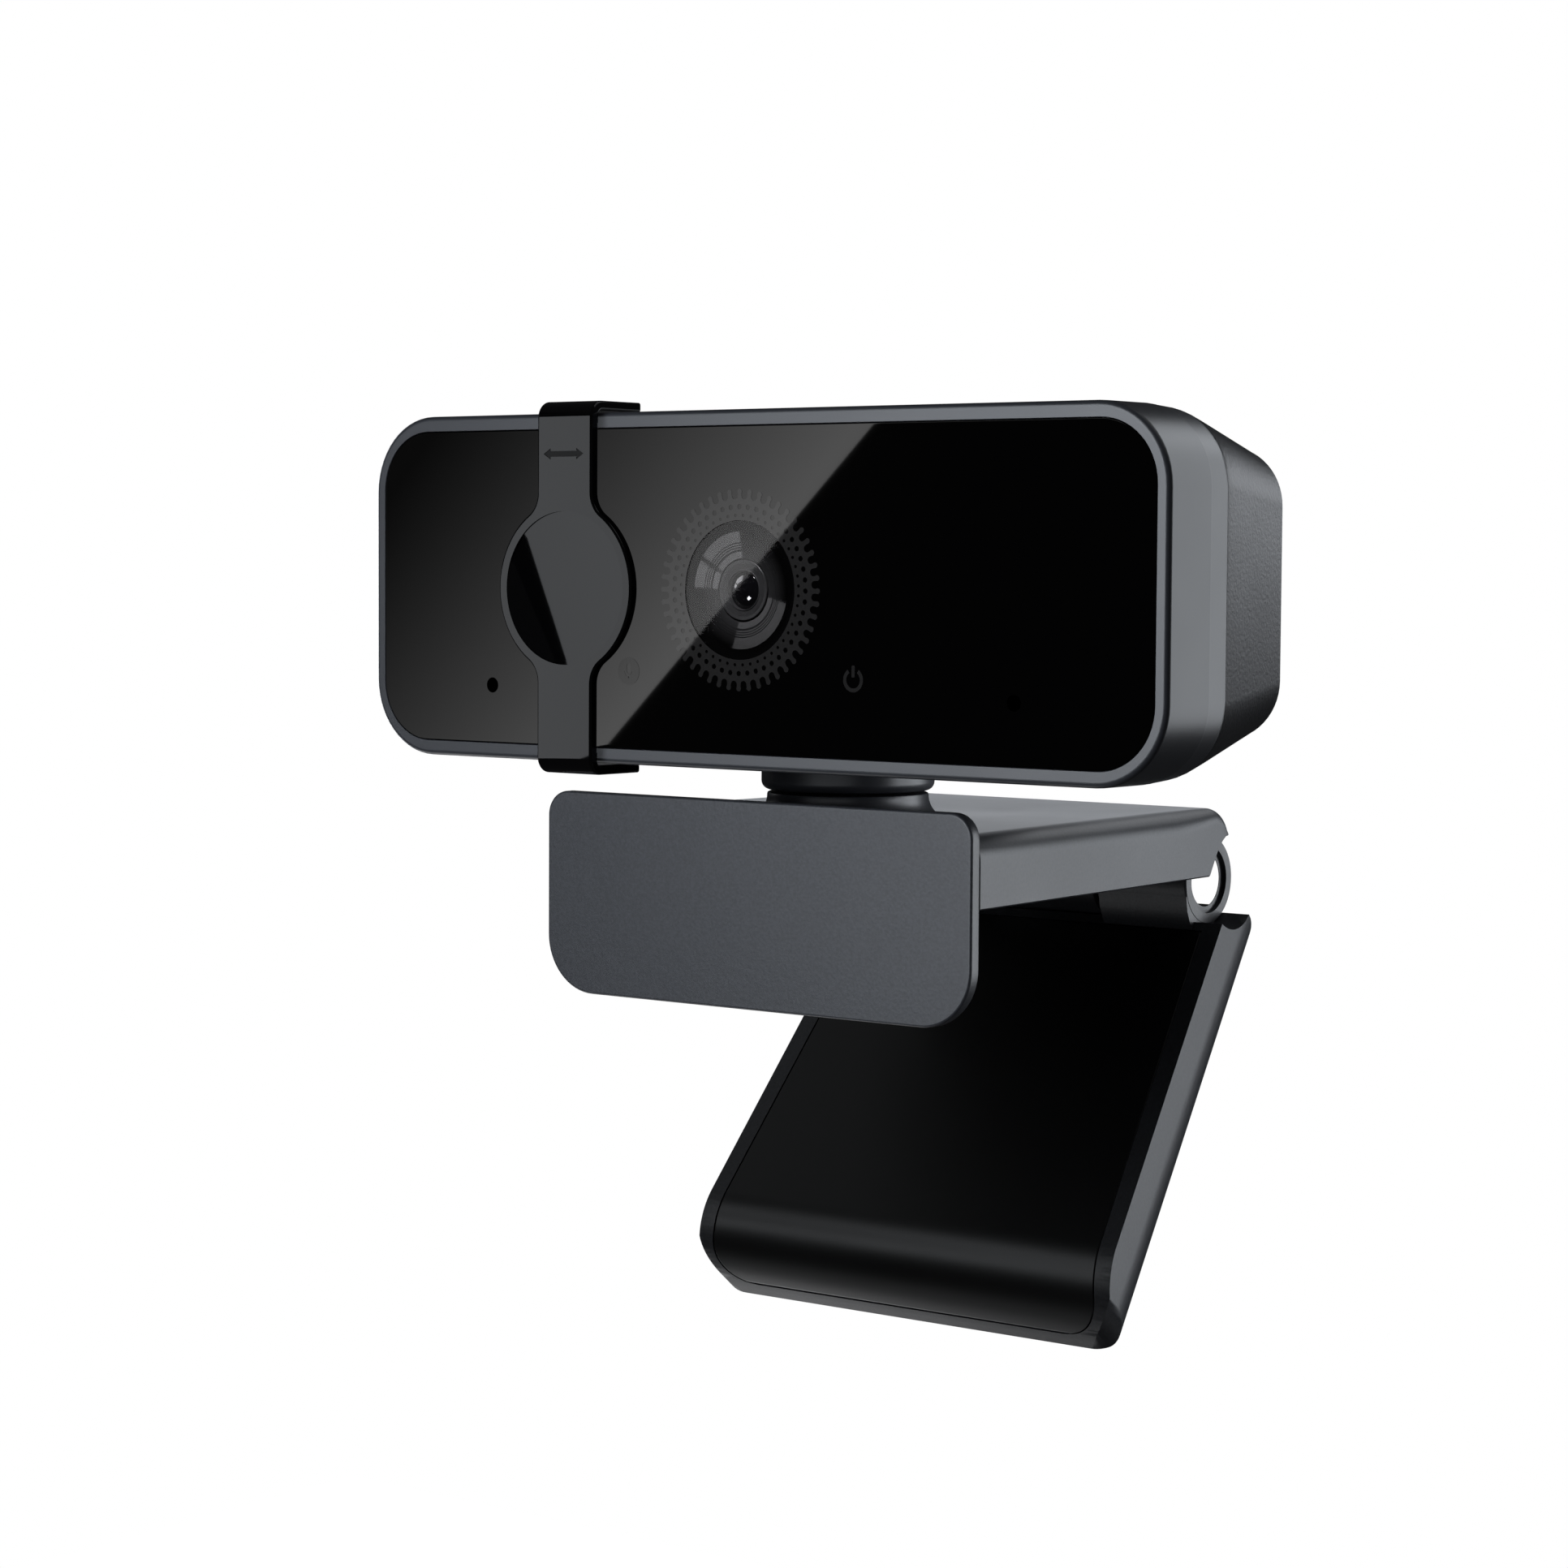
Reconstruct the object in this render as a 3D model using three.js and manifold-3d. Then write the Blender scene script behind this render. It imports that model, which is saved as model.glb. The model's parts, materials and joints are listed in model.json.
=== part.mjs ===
// Clip-on webcam: a wide rectangular camera head with a sliding privacy cover,
// on a swivel neck, over a folding clip that hangs on the top edge of a monitor.
// Millimetres, +Z up, the lens looks along -Y. The origin is the middle of the
// clip's seat pad, where the monitor's top edge rests.

import * as THREE from 'three';
import { mergeVertices } from 'three/addons/utils/BufferGeometryUtils.js';
import Module from 'manifold-3d';

const wasm = await Module();
wasm.setup();

// ------------------------------------------------------------ driving dimensions

const GAP = 0.1;                    // fine gap between parts that nearly touch
const TURNED_GAP = 0.3;             // gap between parts that touch inside the turned leg
const CORNER_STEPS = 6;             // straight steps in each rounded corner

// camera head
const HEAD_HALF_WIDTH = 50;
const HEAD_HALF_HEIGHT = 18;
const HEAD_CORNER = 8;
const LENS_Z = 31;                  // lens axis above the seat
const GLASS_Y = -24;                // front face of the front panel
const BEZEL_SETBACK = 0.3;          // bezel edge behind the panel's face
const BEZEL_CHAMFER = 0.5;
const BAND_REAR_Y = GLASS_Y + 10.7; // where the straight band meets the tapered rear shell
const SHELL_REAR_Y = GLASS_Y + 27.9;
const SHELL_TAPER_X = 4;
const SHELL_TAPER_Z = 3.9;
const SHELL_REAR_CORNER = 5.7;
const WALL = 1.8;

// front panel and optics
const PANEL_HALF_WIDTH = 48.6;
const PANEL_HALF_HEIGHT = 16.35;
const PANEL_CORNER = 6.2;
const PANEL_THICKNESS = 1.1;
const LEDGE = 1.9;                  // width of the ledge that the panel sits on
const WINDOW_RADIUS = 6.94;
const WINDOW_GAP = 0.08;
const WINDOW_THICKNESS = 0.5;
const RING_RADIUS = 10.2;           // outer radius of the status ring round the window
const FUNNEL_THROAT = 3.5;
const FUNNEL_RIM = 0.9;             // width of the flat rim behind the window
const FUNNEL_DEPTH = 0.6;
const FUNNEL_THICKNESS = 1.2;
const BARREL_SETBACK = 1.1;         // barrel nose behind the glass
const BARREL_NOSE_RADIUS = 3.1;
const BARREL_THREAD_RADIUS = 5;
const ELEMENT_RADIUS = 1.95;
const MIC_X = 33.07;
const MIC_DROP = 10.3;              // microphone holes below the lens axis
const MIC_HOLE_RADIUS = 0.8;
const TOUCH_X = 14.3;
const TOUCH_DROP = 8.5;
const TOUCH_RADIUS = 3.2;

// screws that hold the rear shell
const SHELL_SCREW_X = 41;
const SHELL_SCREW_DZ = 8.6;
const SCREW_SHAFT_RADIUS = 1;
const SCREW_HEAD_RADIUS = 2;
const SCREW_BORE_RADIUS = 1.2;
const BOSS_RADIUS = 2.7;

// privacy cover
const COVER_X = -21.8;              // rest position, beside the lens
const COVER_HALF_WIDTH = 3.7;
const COVER_DISC_RADIUS = 9;
const COVER_DISH_RADIUS = 7.9;
const COVER_DISH_DEPTH = 0.28;
const COVER_NECK_FILLET = 2.8;
const COVER_INNER_Y = GLASS_Y - 0.35;
const COVER_THICKNESS = 1.2;
const COVER_INNER_HALF_HEIGHT = 18.25;
const COVER_FLANGE_THICKNESS = 0.95;
const COVER_REAR_Y = GLASS_Y + 6.4;
const COVER_BEND = 1.7;

// swivel neck
const NECK_Y = GLASS_Y + 18.37;
const COLLAR_RADIUS = 9;
const COLLAR_BOTTOM_Z = LENS_Z - 20.7;
const COLLAR_ROUND = 0.7;
const SPIGOT_RADIUS = 5;
const SPIGOT_TOP_Z = 17;
const BASE_TOP_Z = COLLAR_BOTTOM_Z - 0.25;
const BASE_TOP_RADIUS = 8.3;
const BASE_FOOT_RADIUS = 9.4;
const PIVOT_RADIUS = 2;
const PIVOT_CLEARANCE = 0.3;

// clip arm
const ARM_HALF_WIDTH = 27.04;       // at the front plate
const ARM_TAPER = 0.06;             // loss of half width for each millimetre rearwards
const ARM_BOTTOM_Z = 0.4;
const ARM_TOP_Z = 7.65;
const ARM_FRONT_Y = -20.5;
const ARM_LIP_Y = 31.15;
const ARM_CURL_RADIUS = 3;
const ARM_EDGE_RADIUS = 2.5;
const ARM_ROOF = 1.6;
const ARM_SIDE_WALL = 2;
const PLATE_FRONT_Y = GLASS_Y + 2;
const PLATE_REAR_Y = ARM_FRONT_Y - 0.05;
const PLATE_TOP_Z = 9.8;
const PLATE_BOTTOM_Z = -11.3;
const PLATE_TOP_CORNER = 2.6;
const PLATE_BOTTOM_CORNER = 6;

// hinge and leg
const HINGE_Y = 33;
const HINGE_Z = -0.55;
const KNUCKLE_RADIUS = 4.89;
const KNUCKLE_BORE = 2.94;
const KNUCKLE_CLEARANCE_RADIUS = 5.2;
const ARM_CLEARANCE_RADIUS = 5.52;
const CENTRE_KNUCKLE_HALF = 8.6;
const LEG_KNUCKLE_START = 9.1;
const LEG_KNUCKLE_END = 20.45;
const KNUCKLE_WEB = 2.4;
const KNUCKLE_RING = 0.6;
const PIN_RADIUS = 1.3;
const LEG_LEAN = THREE.MathUtils.degToRad(38.66); // lean of the leg from the vertical
const LEG_FRONT = 0.585;            // front face behind the hinge axis
const LEG_LENGTH = 53.1;            // hinge axis to the toe's end face
const LEG_THICKNESS = 8.2;
const LEG_SIDE_THICKNESS = 3.6;
const LEG_CROWN_WIDTH = 2.4;        // width of the rolled-off rear edges
const LEG_TOP_HALF_WIDTH = 23.49;   // at the hinge axis
const LEG_FLARE = 0.0703;           // gain of half width for each millimetre down
const TOE_RADIUS = 8.1;
const TOE_CORNER = 4.4;
const PAD_TOP = -6.3;
const PAD_TOP_HALF_WIDTH = 21.09;
const PAD_FLARE = 0.0781;
const PAD_THICKNESS = 1.2;
const PAD_CORNER = 4;
const PAD_WRAP = THREE.MathUtils.degToRad(75);

// ------------------------------------------------------------ materials

function finish(name, color, roughness, metalness = 0) {
  const material = new THREE.MeshStandardMaterial({ color, roughness, metalness });
  material.name = name;
  return material;
}

const SHELL = ['shell', 0x54575c, 0.5];
const GLOSS = ['cover', 0x303236, 0.2];
const PANEL = ['panel', 0x050505, 0.08];
const LENS = ['lens', 0x1a1c22, 0.05];
const BLACK = ['black_plastic', 0x111113, 0.6];
const RUBBER = ['rubber', 0x0c0c0d, 0.75];
const STEEL = ['steel', 0xa8abb0, 0.3, 1];
const BRASS = ['brass', 0xb08d4a, 0.35, 1];
const BOARD = ['board', 0x1d4a2c, 0.6];
const CHIP = ['chip', 0x151518, 0.5];
const DIFFUSER = ['diffuser', 0x2b2c2f, 0.5];

// ------------------------------------------------------------ solids

// Turns a closed geometry into a solid, with its shared corners merged.
function solid(geometry) {
  const bare = geometry.clone();
  bare.deleteAttribute('normal');
  bare.deleteAttribute('uv');
  const merged = mergeVertices(bare, 1e-4);
  const corners = merged.attributes.position.array;
  const index = merged.index.array;
  const faces = [];
  let volume = 0;
  const a = new THREE.Vector3();
  const b = new THREE.Vector3();
  const c = new THREE.Vector3();
  for (let i = 0; i < index.length; i += 3) {
    const [p, q, r] = [index[i], index[i + 1], index[i + 2]];
    if (p === q || q === r || r === p) continue;
    faces.push(p, q, r);
    a.fromArray(corners, 3 * p);
    b.fromArray(corners, 3 * q);
    c.fromArray(corners, 3 * r);
    volume += a.dot(b.cross(c));
  }
  if (volume < 0) faces.reverse();
  return new wasm.Manifold(new wasm.Mesh({
    numProp: 3,
    vertProperties: new Float32Array(corners),
    triVerts: new Uint32Array(faces),
  }));
}

function geometryOf(body) {
  const mesh = body.getMesh();
  const geometry = new THREE.BufferGeometry();
  geometry.setAttribute('position', new THREE.BufferAttribute(new Float32Array(mesh.vertProperties), 3));
  geometry.setIndex(new THREE.BufferAttribute(new Uint32Array(mesh.triVerts), 1));
  geometry.computeVertexNormals();
  return geometry;
}

function join(first, ...others) {
  return others.reduce((whole, part) => whole.add(part), first);
}

function cut(first, ...others) {
  return others.reduce((whole, part) => whole.subtract(part), first);
}

// ------------------------------------------------------------ outlines

// Points of an arc, from one angle to another, both ends included.
function arc(x, y, radius, from, to, steps = CORNER_STEPS) {
  const points = [];
  for (let i = 0; i <= steps; i += 1) {
    const angle = from + (to - from) * i / steps;
    points.push(new THREE.Vector2(x + radius * Math.cos(angle), y + radius * Math.sin(angle)));
  }
  return points;
}

// Rounded rectangle, with its upper and lower corner radii given apart.
function roundedBox(x0, x1, y0, y1, top, bottom = top) {
  const quarter = Math.PI / 2;
  return [
    ...arc(x1 - bottom, y0 + bottom, bottom, -quarter, 0),
    ...arc(x1 - top, y1 - top, top, 0, quarter),
    ...arc(x0 + top, y1 - top, top, quarter, 2 * quarter),
    ...arc(x0 + bottom, y0 + bottom, bottom, 2 * quarter, 3 * quarter),
  ];
}

function rectangle(x0, x1, y0, y1) {
  return [[x0, y0], [x1, y0], [x1, y1], [x0, y1]].map(([x, y]) => new THREE.Vector2(x, y));
}

function headOutline(inset, corner = HEAD_CORNER - inset) {
  const halfWidth = HEAD_HALF_WIDTH - inset;
  const halfHeight = HEAD_HALF_HEIGHT - inset;
  return roundedBox(-halfWidth, halfWidth, LENS_Z - halfHeight, LENS_Z + halfHeight, corner);
}

// ------------------------------------------------------------ placed shapes

const TO_X = new THREE.Matrix4().set(0, 0, 1, 0, 1, 0, 0, 0, 0, 1, 0, 0, 0, 0, 0, 1);
const TO_Y = new THREE.Matrix4().set(1, 0, 0, 0, 0, 0, -1, 0, 0, 1, 0, 0, 0, 0, 0, 1);

function prism(points, depth) {
  const apart = points.filter((point, i) => point.distanceTo(points.at(i - 1)) > 0.02);
  return new THREE.ExtrudeGeometry(new THREE.Shape(apart), { depth, bevelEnabled: false });
}

// Outline in (y, z), carried along X.
function slabX(points, x0, x1) {
  return solid(prism(points, x1 - x0).translate(0, 0, x0).applyMatrix4(TO_X));
}

// Outline in (x, z), carried along Y.
function slabY(points, y0, y1) {
  return solid(prism(points, y1 - y0).translate(0, 0, -y1).applyMatrix4(TO_Y));
}

// Outline in (x, y), carried along Z.
function slabZ(points, z0, z1) {
  return solid(prism(points, z1 - z0).translate(0, 0, z0));
}

// Prism between two outlines with the same number of points, 0 at the near end and 1 at the far end.
function taperedPrism(near, far) {
  const geometry = prism(near, 1);
  const position = geometry.attributes.position;
  const corner = new THREE.Vector2();
  for (let i = 0; i < position.count; i += 1) {
    if (position.getZ(i) < 0.5) continue;
    corner.set(position.getX(i), position.getY(i));
    const distances = near.map((point) => point.distanceTo(corner));
    const target = far[distances.indexOf(Math.min(...distances))];
    position.setXY(i, target.x, target.y);
  }
  return geometry;
}

// Loft along Y between outlines in (x, z).
function loftY(near, y0, far, y1) {
  const geometry = taperedPrism(far, near).scale(1, 1, y1 - y0).translate(0, 0, -y1);
  return solid(geometry.applyMatrix4(TO_Y));
}

// Loft along Z between outlines in (x, y).
function loftZ(near, z0, far, z1) {
  return solid(taperedPrism(near, far).scale(1, 1, z1 - z0).translate(0, 0, z0));
}

// Solid of revolution: profile points are [radius, height] along the named axis.
function turned(axis, centre, profile, segments = 32) {
  const points = profile.map(([radius, height]) => new THREE.Vector2(radius, height));
  const geometry = new THREE.LatheGeometry(points, segments);
  if (axis === 'z') geometry.rotateX(Math.PI / 2);
  if (axis === 'x') geometry.rotateZ(-Math.PI / 2);
  return solid(geometry.translate(...centre));
}

function rod(axis, centre, radius, from, to, segments = 24) {
  return turned(axis, centre, [[0, from], [radius, from], [radius, to], [0, to]], segments);
}

function tube(axis, centre, inner, outer, from, to, segments = 32) {
  const profile = [[inner, from], [outer, from], [outer, to], [inner, to], [inner, from]];
  return turned(axis, centre, profile, segments);
}

// Screw along an axis: the head's outer face at `top`, its shaft running to `tip`.
function screw(axis, centre, top, tip, headRadius = SCREW_HEAD_RADIUS, shaftRadius = SCREW_SHAFT_RADIUS) {
  const direction = Math.sign(tip - top);
  const headHeight = 0.75 * headRadius;
  const neck = top + direction * headHeight;
  const profile = [[0, top], [headRadius, top], [headRadius, neck], [shaftRadius, neck], [shaftRadius, tip], [0, tip]];
  return turned(axis, centre, profile, 14);
}

// ------------------------------------------------------------ assembly

const webcam = new THREE.Group();
const leg = new THREE.Group();
leg.position.set(0, HINGE_Y, HINGE_Z);
leg.rotation.x = -LEG_LEAN;
webcam.add(leg);

function place(name, body, look, parent = webcam) {
  const mesh = new THREE.Mesh(geometryOf(body), finish(...look));
  mesh.name = name;
  parent.add(mesh);
}

const SIDES = [['left', -1], ['right', 1]];
const SHELL_SCREWS = SIDES.flatMap(([side, x]) => [
  [`upper_${side}`, x * SHELL_SCREW_X, LENS_Z + SHELL_SCREW_DZ],
  [`lower_${side}`, x * SHELL_SCREW_X, LENS_Z - SHELL_SCREW_DZ],
]);

// ------------------------------------------------------------ head casing

const bezelY = GLASS_Y + BEZEL_SETBACK;
const pocketY = GLASS_Y + PANEL_THICKNESS + GAP;
const ledgeY = pocketY + 1;
const bossFaceY = -9;

function headFrame() {
  const outer = join(
    loftY(headOutline(BEZEL_CHAMFER), bezelY, headOutline(0), bezelY + BEZEL_CHAMFER),
    slabY(headOutline(0), bezelY + BEZEL_CHAMFER, BAND_REAR_Y - GAP / 2),
  );
  const pocket = slabY(panelOutline(-GAP), bezelY - 1, pocketY);
  const mouth = slabY(panelOutline(LEDGE), bezelY - 1, ledgeY + 1);
  const hollow = slabY(headOutline(WALL), ledgeY, BAND_REAR_Y + 1);
  let frame = cut(outer, pocket, mouth, hollow);
  for (const [, x, z] of SHELL_SCREWS) {
    const boss = rod('y', [x, 0, z], BOSS_RADIUS, ledgeY - 0.5, BAND_REAR_Y - GAP);
    const web = slabY(rectangle(Math.min(x, Math.sign(x) * 48.5), Math.max(x, Math.sign(x) * 48.5),
      z - 0.8, z + 0.8), ledgeY - 0.5, BAND_REAR_Y - GAP);
    frame = cut(join(frame, boss, web), rod('y', [x, 0, z], SCREW_BORE_RADIUS, ledgeY + 1, 0, 14));
  }
  return cut(frame, pocket, mouth);
}

function panelOutline(inset) {
  const halfWidth = PANEL_HALF_WIDTH - inset;
  const halfHeight = PANEL_HALF_HEIGHT - inset;
  return roundedBox(-halfWidth, halfWidth, LENS_Z - halfHeight, LENS_Z + halfHeight, PANEL_CORNER - inset / 2);
}

function frontPanel() {
  const plate = slabY(panelOutline(0), GLASS_Y, GLASS_Y + PANEL_THICKNESS);
  const holes = [rod('y', [0, 0, LENS_Z], WINDOW_RADIUS, GLASS_Y - 1, GLASS_Y + 2, 48)];
  for (const [, side] of SIDES) {
    holes.push(rod('y', [side * MIC_X, 0, LENS_Z - MIC_DROP], MIC_HOLE_RADIUS, GLASS_Y - 1, GLASS_Y + 2, 16));
  }
  return cut(plate, ...holes);
}

// Outside of the tapered rear shell, grown or shrunk by an inset.
function shellBody(inset, frontY, rearY) {
  const rear = roundedBox(
    -HEAD_HALF_WIDTH + SHELL_TAPER_X + inset, HEAD_HALF_WIDTH - SHELL_TAPER_X - inset,
    LENS_Z - HEAD_HALF_HEIGHT + SHELL_TAPER_Z + inset, LENS_Z + HEAD_HALF_HEIGHT - SHELL_TAPER_Z - inset,
    SHELL_REAR_CORNER - inset / 2,
  );
  return loftY(headOutline(inset), frontY, rear, rearY);
}

const GLAND_X = 24;
const GLAND_HOLE_RADIUS = 3.1;

function rearShell() {
  const outer = shellBody(0, BAND_REAR_Y, SHELL_REAR_Y);
  const hollow = join(
    shellBody(WALL, BAND_REAR_Y, SHELL_REAR_Y - WALL),
    slabY(headOutline(WALL), BAND_REAR_Y - 1, BAND_REAR_Y + 0.01),
  );
  let shell = cut(outer, hollow);
  for (const [, x, z] of SHELL_SCREWS) {
    shell = join(shell, rod('y', [x, 0, z], BOSS_RADIUS, BAND_REAR_Y, SHELL_REAR_Y - 1));
    shell = cut(shell, rod('y', [x, 0, z], SCREW_BORE_RADIUS, BAND_REAR_Y - 1, SHELL_REAR_Y + 1, 14));
    shell = cut(shell, rod('y', [x, 0, z], SCREW_HEAD_RADIUS + 0.3, SHELL_REAR_Y - 2.2, SHELL_REAR_Y + 1, 20));
  }
  const glandHole = rod('y', [GLAND_X, 0, LENS_Z], GLAND_HOLE_RADIUS, 0, SHELL_REAR_Y + 1);
  const neckHole = rod('z', [0, NECK_Y, 0], SPIGOT_RADIUS + 0.2, 5, SPIGOT_TOP_Z + 3);
  return cut(shell, glandHole, neckHole);
}

place('head_frame', headFrame(), SHELL);
place('front_panel', frontPanel(), PANEL);
place('rear_shell', rearShell(), SHELL);
for (const [name, x, z] of SHELL_SCREWS) {
  place(`shell_screw_${name}`, screw('y', [x, 0, z], SHELL_REAR_Y - 0.6, ledgeY + 2), STEEL);
}

// Rubber cable inlet: a flanged ring snapped through the rear wall.
place('cable_gland', turned('y', [GLAND_X, 0, LENS_Z], [
  [1.7, SHELL_REAR_Y - 4], [3.9, SHELL_REAR_Y - 3], [3.9, SHELL_REAR_Y - WALL - GAP],
  [3, SHELL_REAR_Y - WALL - GAP], [3, SHELL_REAR_Y + GAP], [4.2, SHELL_REAR_Y + GAP],
  [3.9, SHELL_REAR_Y + 1], [1.7, SHELL_REAR_Y + 1], [1.7, SHELL_REAR_Y - 4],
], 24), RUBBER);

// ------------------------------------------------------------ optics

const opticAxis = [0, 0, LENS_Z];
const backOfPanel = GLASS_Y + PANEL_THICKNESS;

place('lens_window', rod('y', opticAxis, WINDOW_RADIUS - WINDOW_GAP, GLASS_Y, GLASS_Y + WINDOW_THICKNESS, 48), LENS);

// Light baffle behind the window: a cone that steps down to the lens barrel.
function lensFunnel() {
  const front = GLASS_Y + WINDOW_THICKNESS + GAP;
  const outer = WINDOW_RADIUS - WINDOW_GAP;
  return turned('y', opticAxis, [
    [outer, front], [outer - FUNNEL_RIM, front], [FUNNEL_THROAT, front + FUNNEL_DEPTH],
    [FUNNEL_THROAT, front + FUNNEL_THICKNESS], [outer, front + FUNNEL_THICKNESS], [outer, front],
  ], 48);
}

const barrelNoseY = GLASS_Y + BARREL_SETBACK;
const barrelStepY = GLASS_Y + 7;
const boardY = -4;
const mountFrontY = -11;

place('lens_funnel', lensFunnel(), BLACK);
place('lens_barrel', cut(
  turned('y', opticAxis, [
    [0, barrelNoseY], [BARREL_NOSE_RADIUS - 0.4, barrelNoseY], [BARREL_NOSE_RADIUS, barrelNoseY + 0.4],
    [BARREL_NOSE_RADIUS, barrelStepY], [BARREL_THREAD_RADIUS, barrelStepY],
    [BARREL_THREAD_RADIUS, boardY - 3], [0, boardY - 3],
  ], 36),
  rod('y', opticAxis, ELEMENT_RADIUS + GAP, barrelNoseY - 1, barrelNoseY + 1.6, 32),
), BLACK);
place('lens_element', turned('y', opticAxis, [
  [0, barrelNoseY + 0.1], [0.8, barrelNoseY + 0.18], [1.4, barrelNoseY + 0.38],
  [ELEMENT_RADIUS, barrelNoseY + 0.75], [ELEMENT_RADIUS, barrelNoseY + 1.5], [0, barrelNoseY + 1.5],
], 28), LENS);
place('lens_mount', cut(
  slabY(rectangle(-7, 7, LENS_Z - 7, LENS_Z + 7), mountFrontY, boardY - 0.05),
  rod('y', opticAxis, BARREL_THREAD_RADIUS + GAP, mountFrontY - 1, boardY - 2, 36),
  slabY(rectangle(-4, 4, LENS_Z - 4, LENS_Z + 4), boardY - 3, boardY + 1),
), BLACK);
place('image_sensor', slabY(rectangle(-3, 3, LENS_Z - 2.5, LENS_Z + 2.5), boardY - 1, boardY - 0.05), CHIP);

// Status ring: a diffuser behind the panel's perforated ring, lit by one diode.
place('ring_diffuser', tube('y', opticAxis, WINDOW_RADIUS + 0.2, RING_RADIUS,
  backOfPanel + GAP, backOfPanel + 0.9, 48), DIFFUSER);
place('status_led', slabY(rectangle(-1, 1, LENS_Z - 9.6, LENS_Z - 8), backOfPanel + 1.0, backOfPanel + 1.8), DIFFUSER);

// ------------------------------------------------------------ electronics

place('main_board', slabY(rectangle(-36, 36, LENS_Z - 11, LENS_Z + 11), boardY, boardY + 1.2), BOARD);
place('video_chip', slabY(rectangle(-20, -10, LENS_Z - 5, LENS_Z + 5), boardY + 1.25, boardY + 2.5), CHIP);
place('cable_connector', slabY(rectangle(20, 28, LENS_Z - 2.5, LENS_Z + 2.5), boardY - 4.1, boardY - 0.05), BLACK);
place('microphone_board', slabY(rectangle(-37, 37, LENS_Z - 13.6, LENS_Z - 7.4),
  backOfPanel + 4, backOfPanel + 5), BOARD);
for (const [name, side] of SIDES) {
  const micAxis = [side * MIC_X, 0, LENS_Z - MIC_DROP];
  place(`microphone_gasket_${name}`, tube('y', micAxis, MIC_HOLE_RADIUS, 2.4,
    backOfPanel + GAP, backOfPanel + 2.6, 16), RUBBER);
  place(`microphone_${name}`, slabY(rectangle(side * MIC_X - 1.9, side * MIC_X + 1.9,
    LENS_Z - MIC_DROP - 1.4, LENS_Z - MIC_DROP + 1.4), backOfPanel + 2.7, backOfPanel + 3.9), STEEL);
  place(`touch_sensor_${name}`, rod('y', [side * TOUCH_X, 0, LENS_Z - TOUCH_DROP], TOUCH_RADIUS,
    backOfPanel + GAP, backOfPanel + 0.6), BRASS);
}

// ------------------------------------------------------------ privacy cover

// Strip and disc, seen from the front, with concave fillets where they meet.
function coverFace() {
  const reach = COVER_DISC_RADIUS + COVER_NECK_FILLET;
  const filletX = COVER_HALF_WIDTH + COVER_NECK_FILLET;
  const filletZ = Math.sqrt(reach * reach - filletX * filletX);
  const lean = Math.atan2(filletZ, filletX);
  const end = COVER_INNER_HALF_HEIGHT - 1;
  const quarter = [
    ...arc(0, 0, COVER_DISC_RADIUS, 0, lean, 8),
    ...arc(filletX, filletZ, COVER_NECK_FILLET, lean + Math.PI, Math.PI, 5).slice(1),
    new THREE.Vector2(COVER_HALF_WIDTH, end),
  ];
  const mirrored = (signX, signZ) => quarter.map((p) => new THREE.Vector2(signX * p.x, signZ * p.y));
  const loop = [
    ...mirrored(1, 1), ...mirrored(-1, 1).reverse(),
    ...mirrored(-1, -1).slice(1), ...mirrored(1, -1).reverse().slice(0, -1),
  ];
  return loop.map((p) => new THREE.Vector2(p.x + COVER_X, p.y + LENS_Z));
}

function privacyCover() {
  const outerY = COVER_INNER_Y - COVER_THICKNESS;
  const outerHalf = COVER_INNER_HALF_HEIGHT + COVER_FLANGE_THICKNESS;
  const [west, east] = [COVER_X - COVER_HALF_WIDTH, COVER_X + COVER_HALF_WIDTH];
  const quarter = Math.PI / 2;
  const outside = [
    new THREE.Vector2(COVER_REAR_Y, LENS_Z - outerHalf),
    new THREE.Vector2(COVER_REAR_Y, LENS_Z + outerHalf),
    ...arc(outerY + COVER_BEND, LENS_Z + outerHalf - COVER_BEND, COVER_BEND, quarter, 2 * quarter, 5),
    ...arc(outerY + COVER_BEND, LENS_Z - outerHalf + COVER_BEND, COVER_BEND, 2 * quarter, 3 * quarter, 5),
  ];
  const innerBend = COVER_BEND - 1.1;
  const inside = [
    new THREE.Vector2(COVER_REAR_Y + 1, LENS_Z - COVER_INNER_HALF_HEIGHT),
    new THREE.Vector2(COVER_REAR_Y + 1, LENS_Z + COVER_INNER_HALF_HEIGHT),
    ...arc(COVER_INNER_Y + innerBend, LENS_Z + COVER_INNER_HALF_HEIGHT - innerBend, innerBend, quarter, 2 * quarter, 3),
    ...arc(COVER_INNER_Y + innerBend, LENS_Z - COVER_INNER_HALF_HEIGHT + innerBend, innerBend, 2 * quarter, 3 * quarter, 3),
  ];
  const bracket = cut(slabX(outside, west, east), slabX(inside, west - 1, east + 1));
  const face = slabY(coverFace(), outerY, COVER_INNER_Y);
  const dishCurve = (COVER_DISH_RADIUS ** 2 + COVER_DISH_DEPTH ** 2) / (2 * COVER_DISH_DEPTH);
  const dishProfile = [[0, outerY - 1], [COVER_DISH_RADIUS, outerY - 1]];
  const rings = 4;
  for (let i = rings; i >= 0; i -= 1) {
    const radius = COVER_DISH_RADIUS * i / rings;
    const sag = COVER_DISH_DEPTH - (dishCurve - Math.sqrt(dishCurve ** 2 - radius ** 2));
    dishProfile.push([radius, outerY + sag]);
  }
  return cut(join(bracket, face), turned('y', [COVER_X, 0, LENS_Z], dishProfile, 40));
}

place('privacy_cover', privacyCover(), GLOSS);
place('cover_liner', rod('y', [COVER_X, 0, LENS_Z], 7.4, COVER_INNER_Y + 0.03, GLASS_Y - GAP, 32), RUBBER);

// ------------------------------------------------------------ swivel neck

const neckAxis = [0, NECK_Y, 0];

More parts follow.
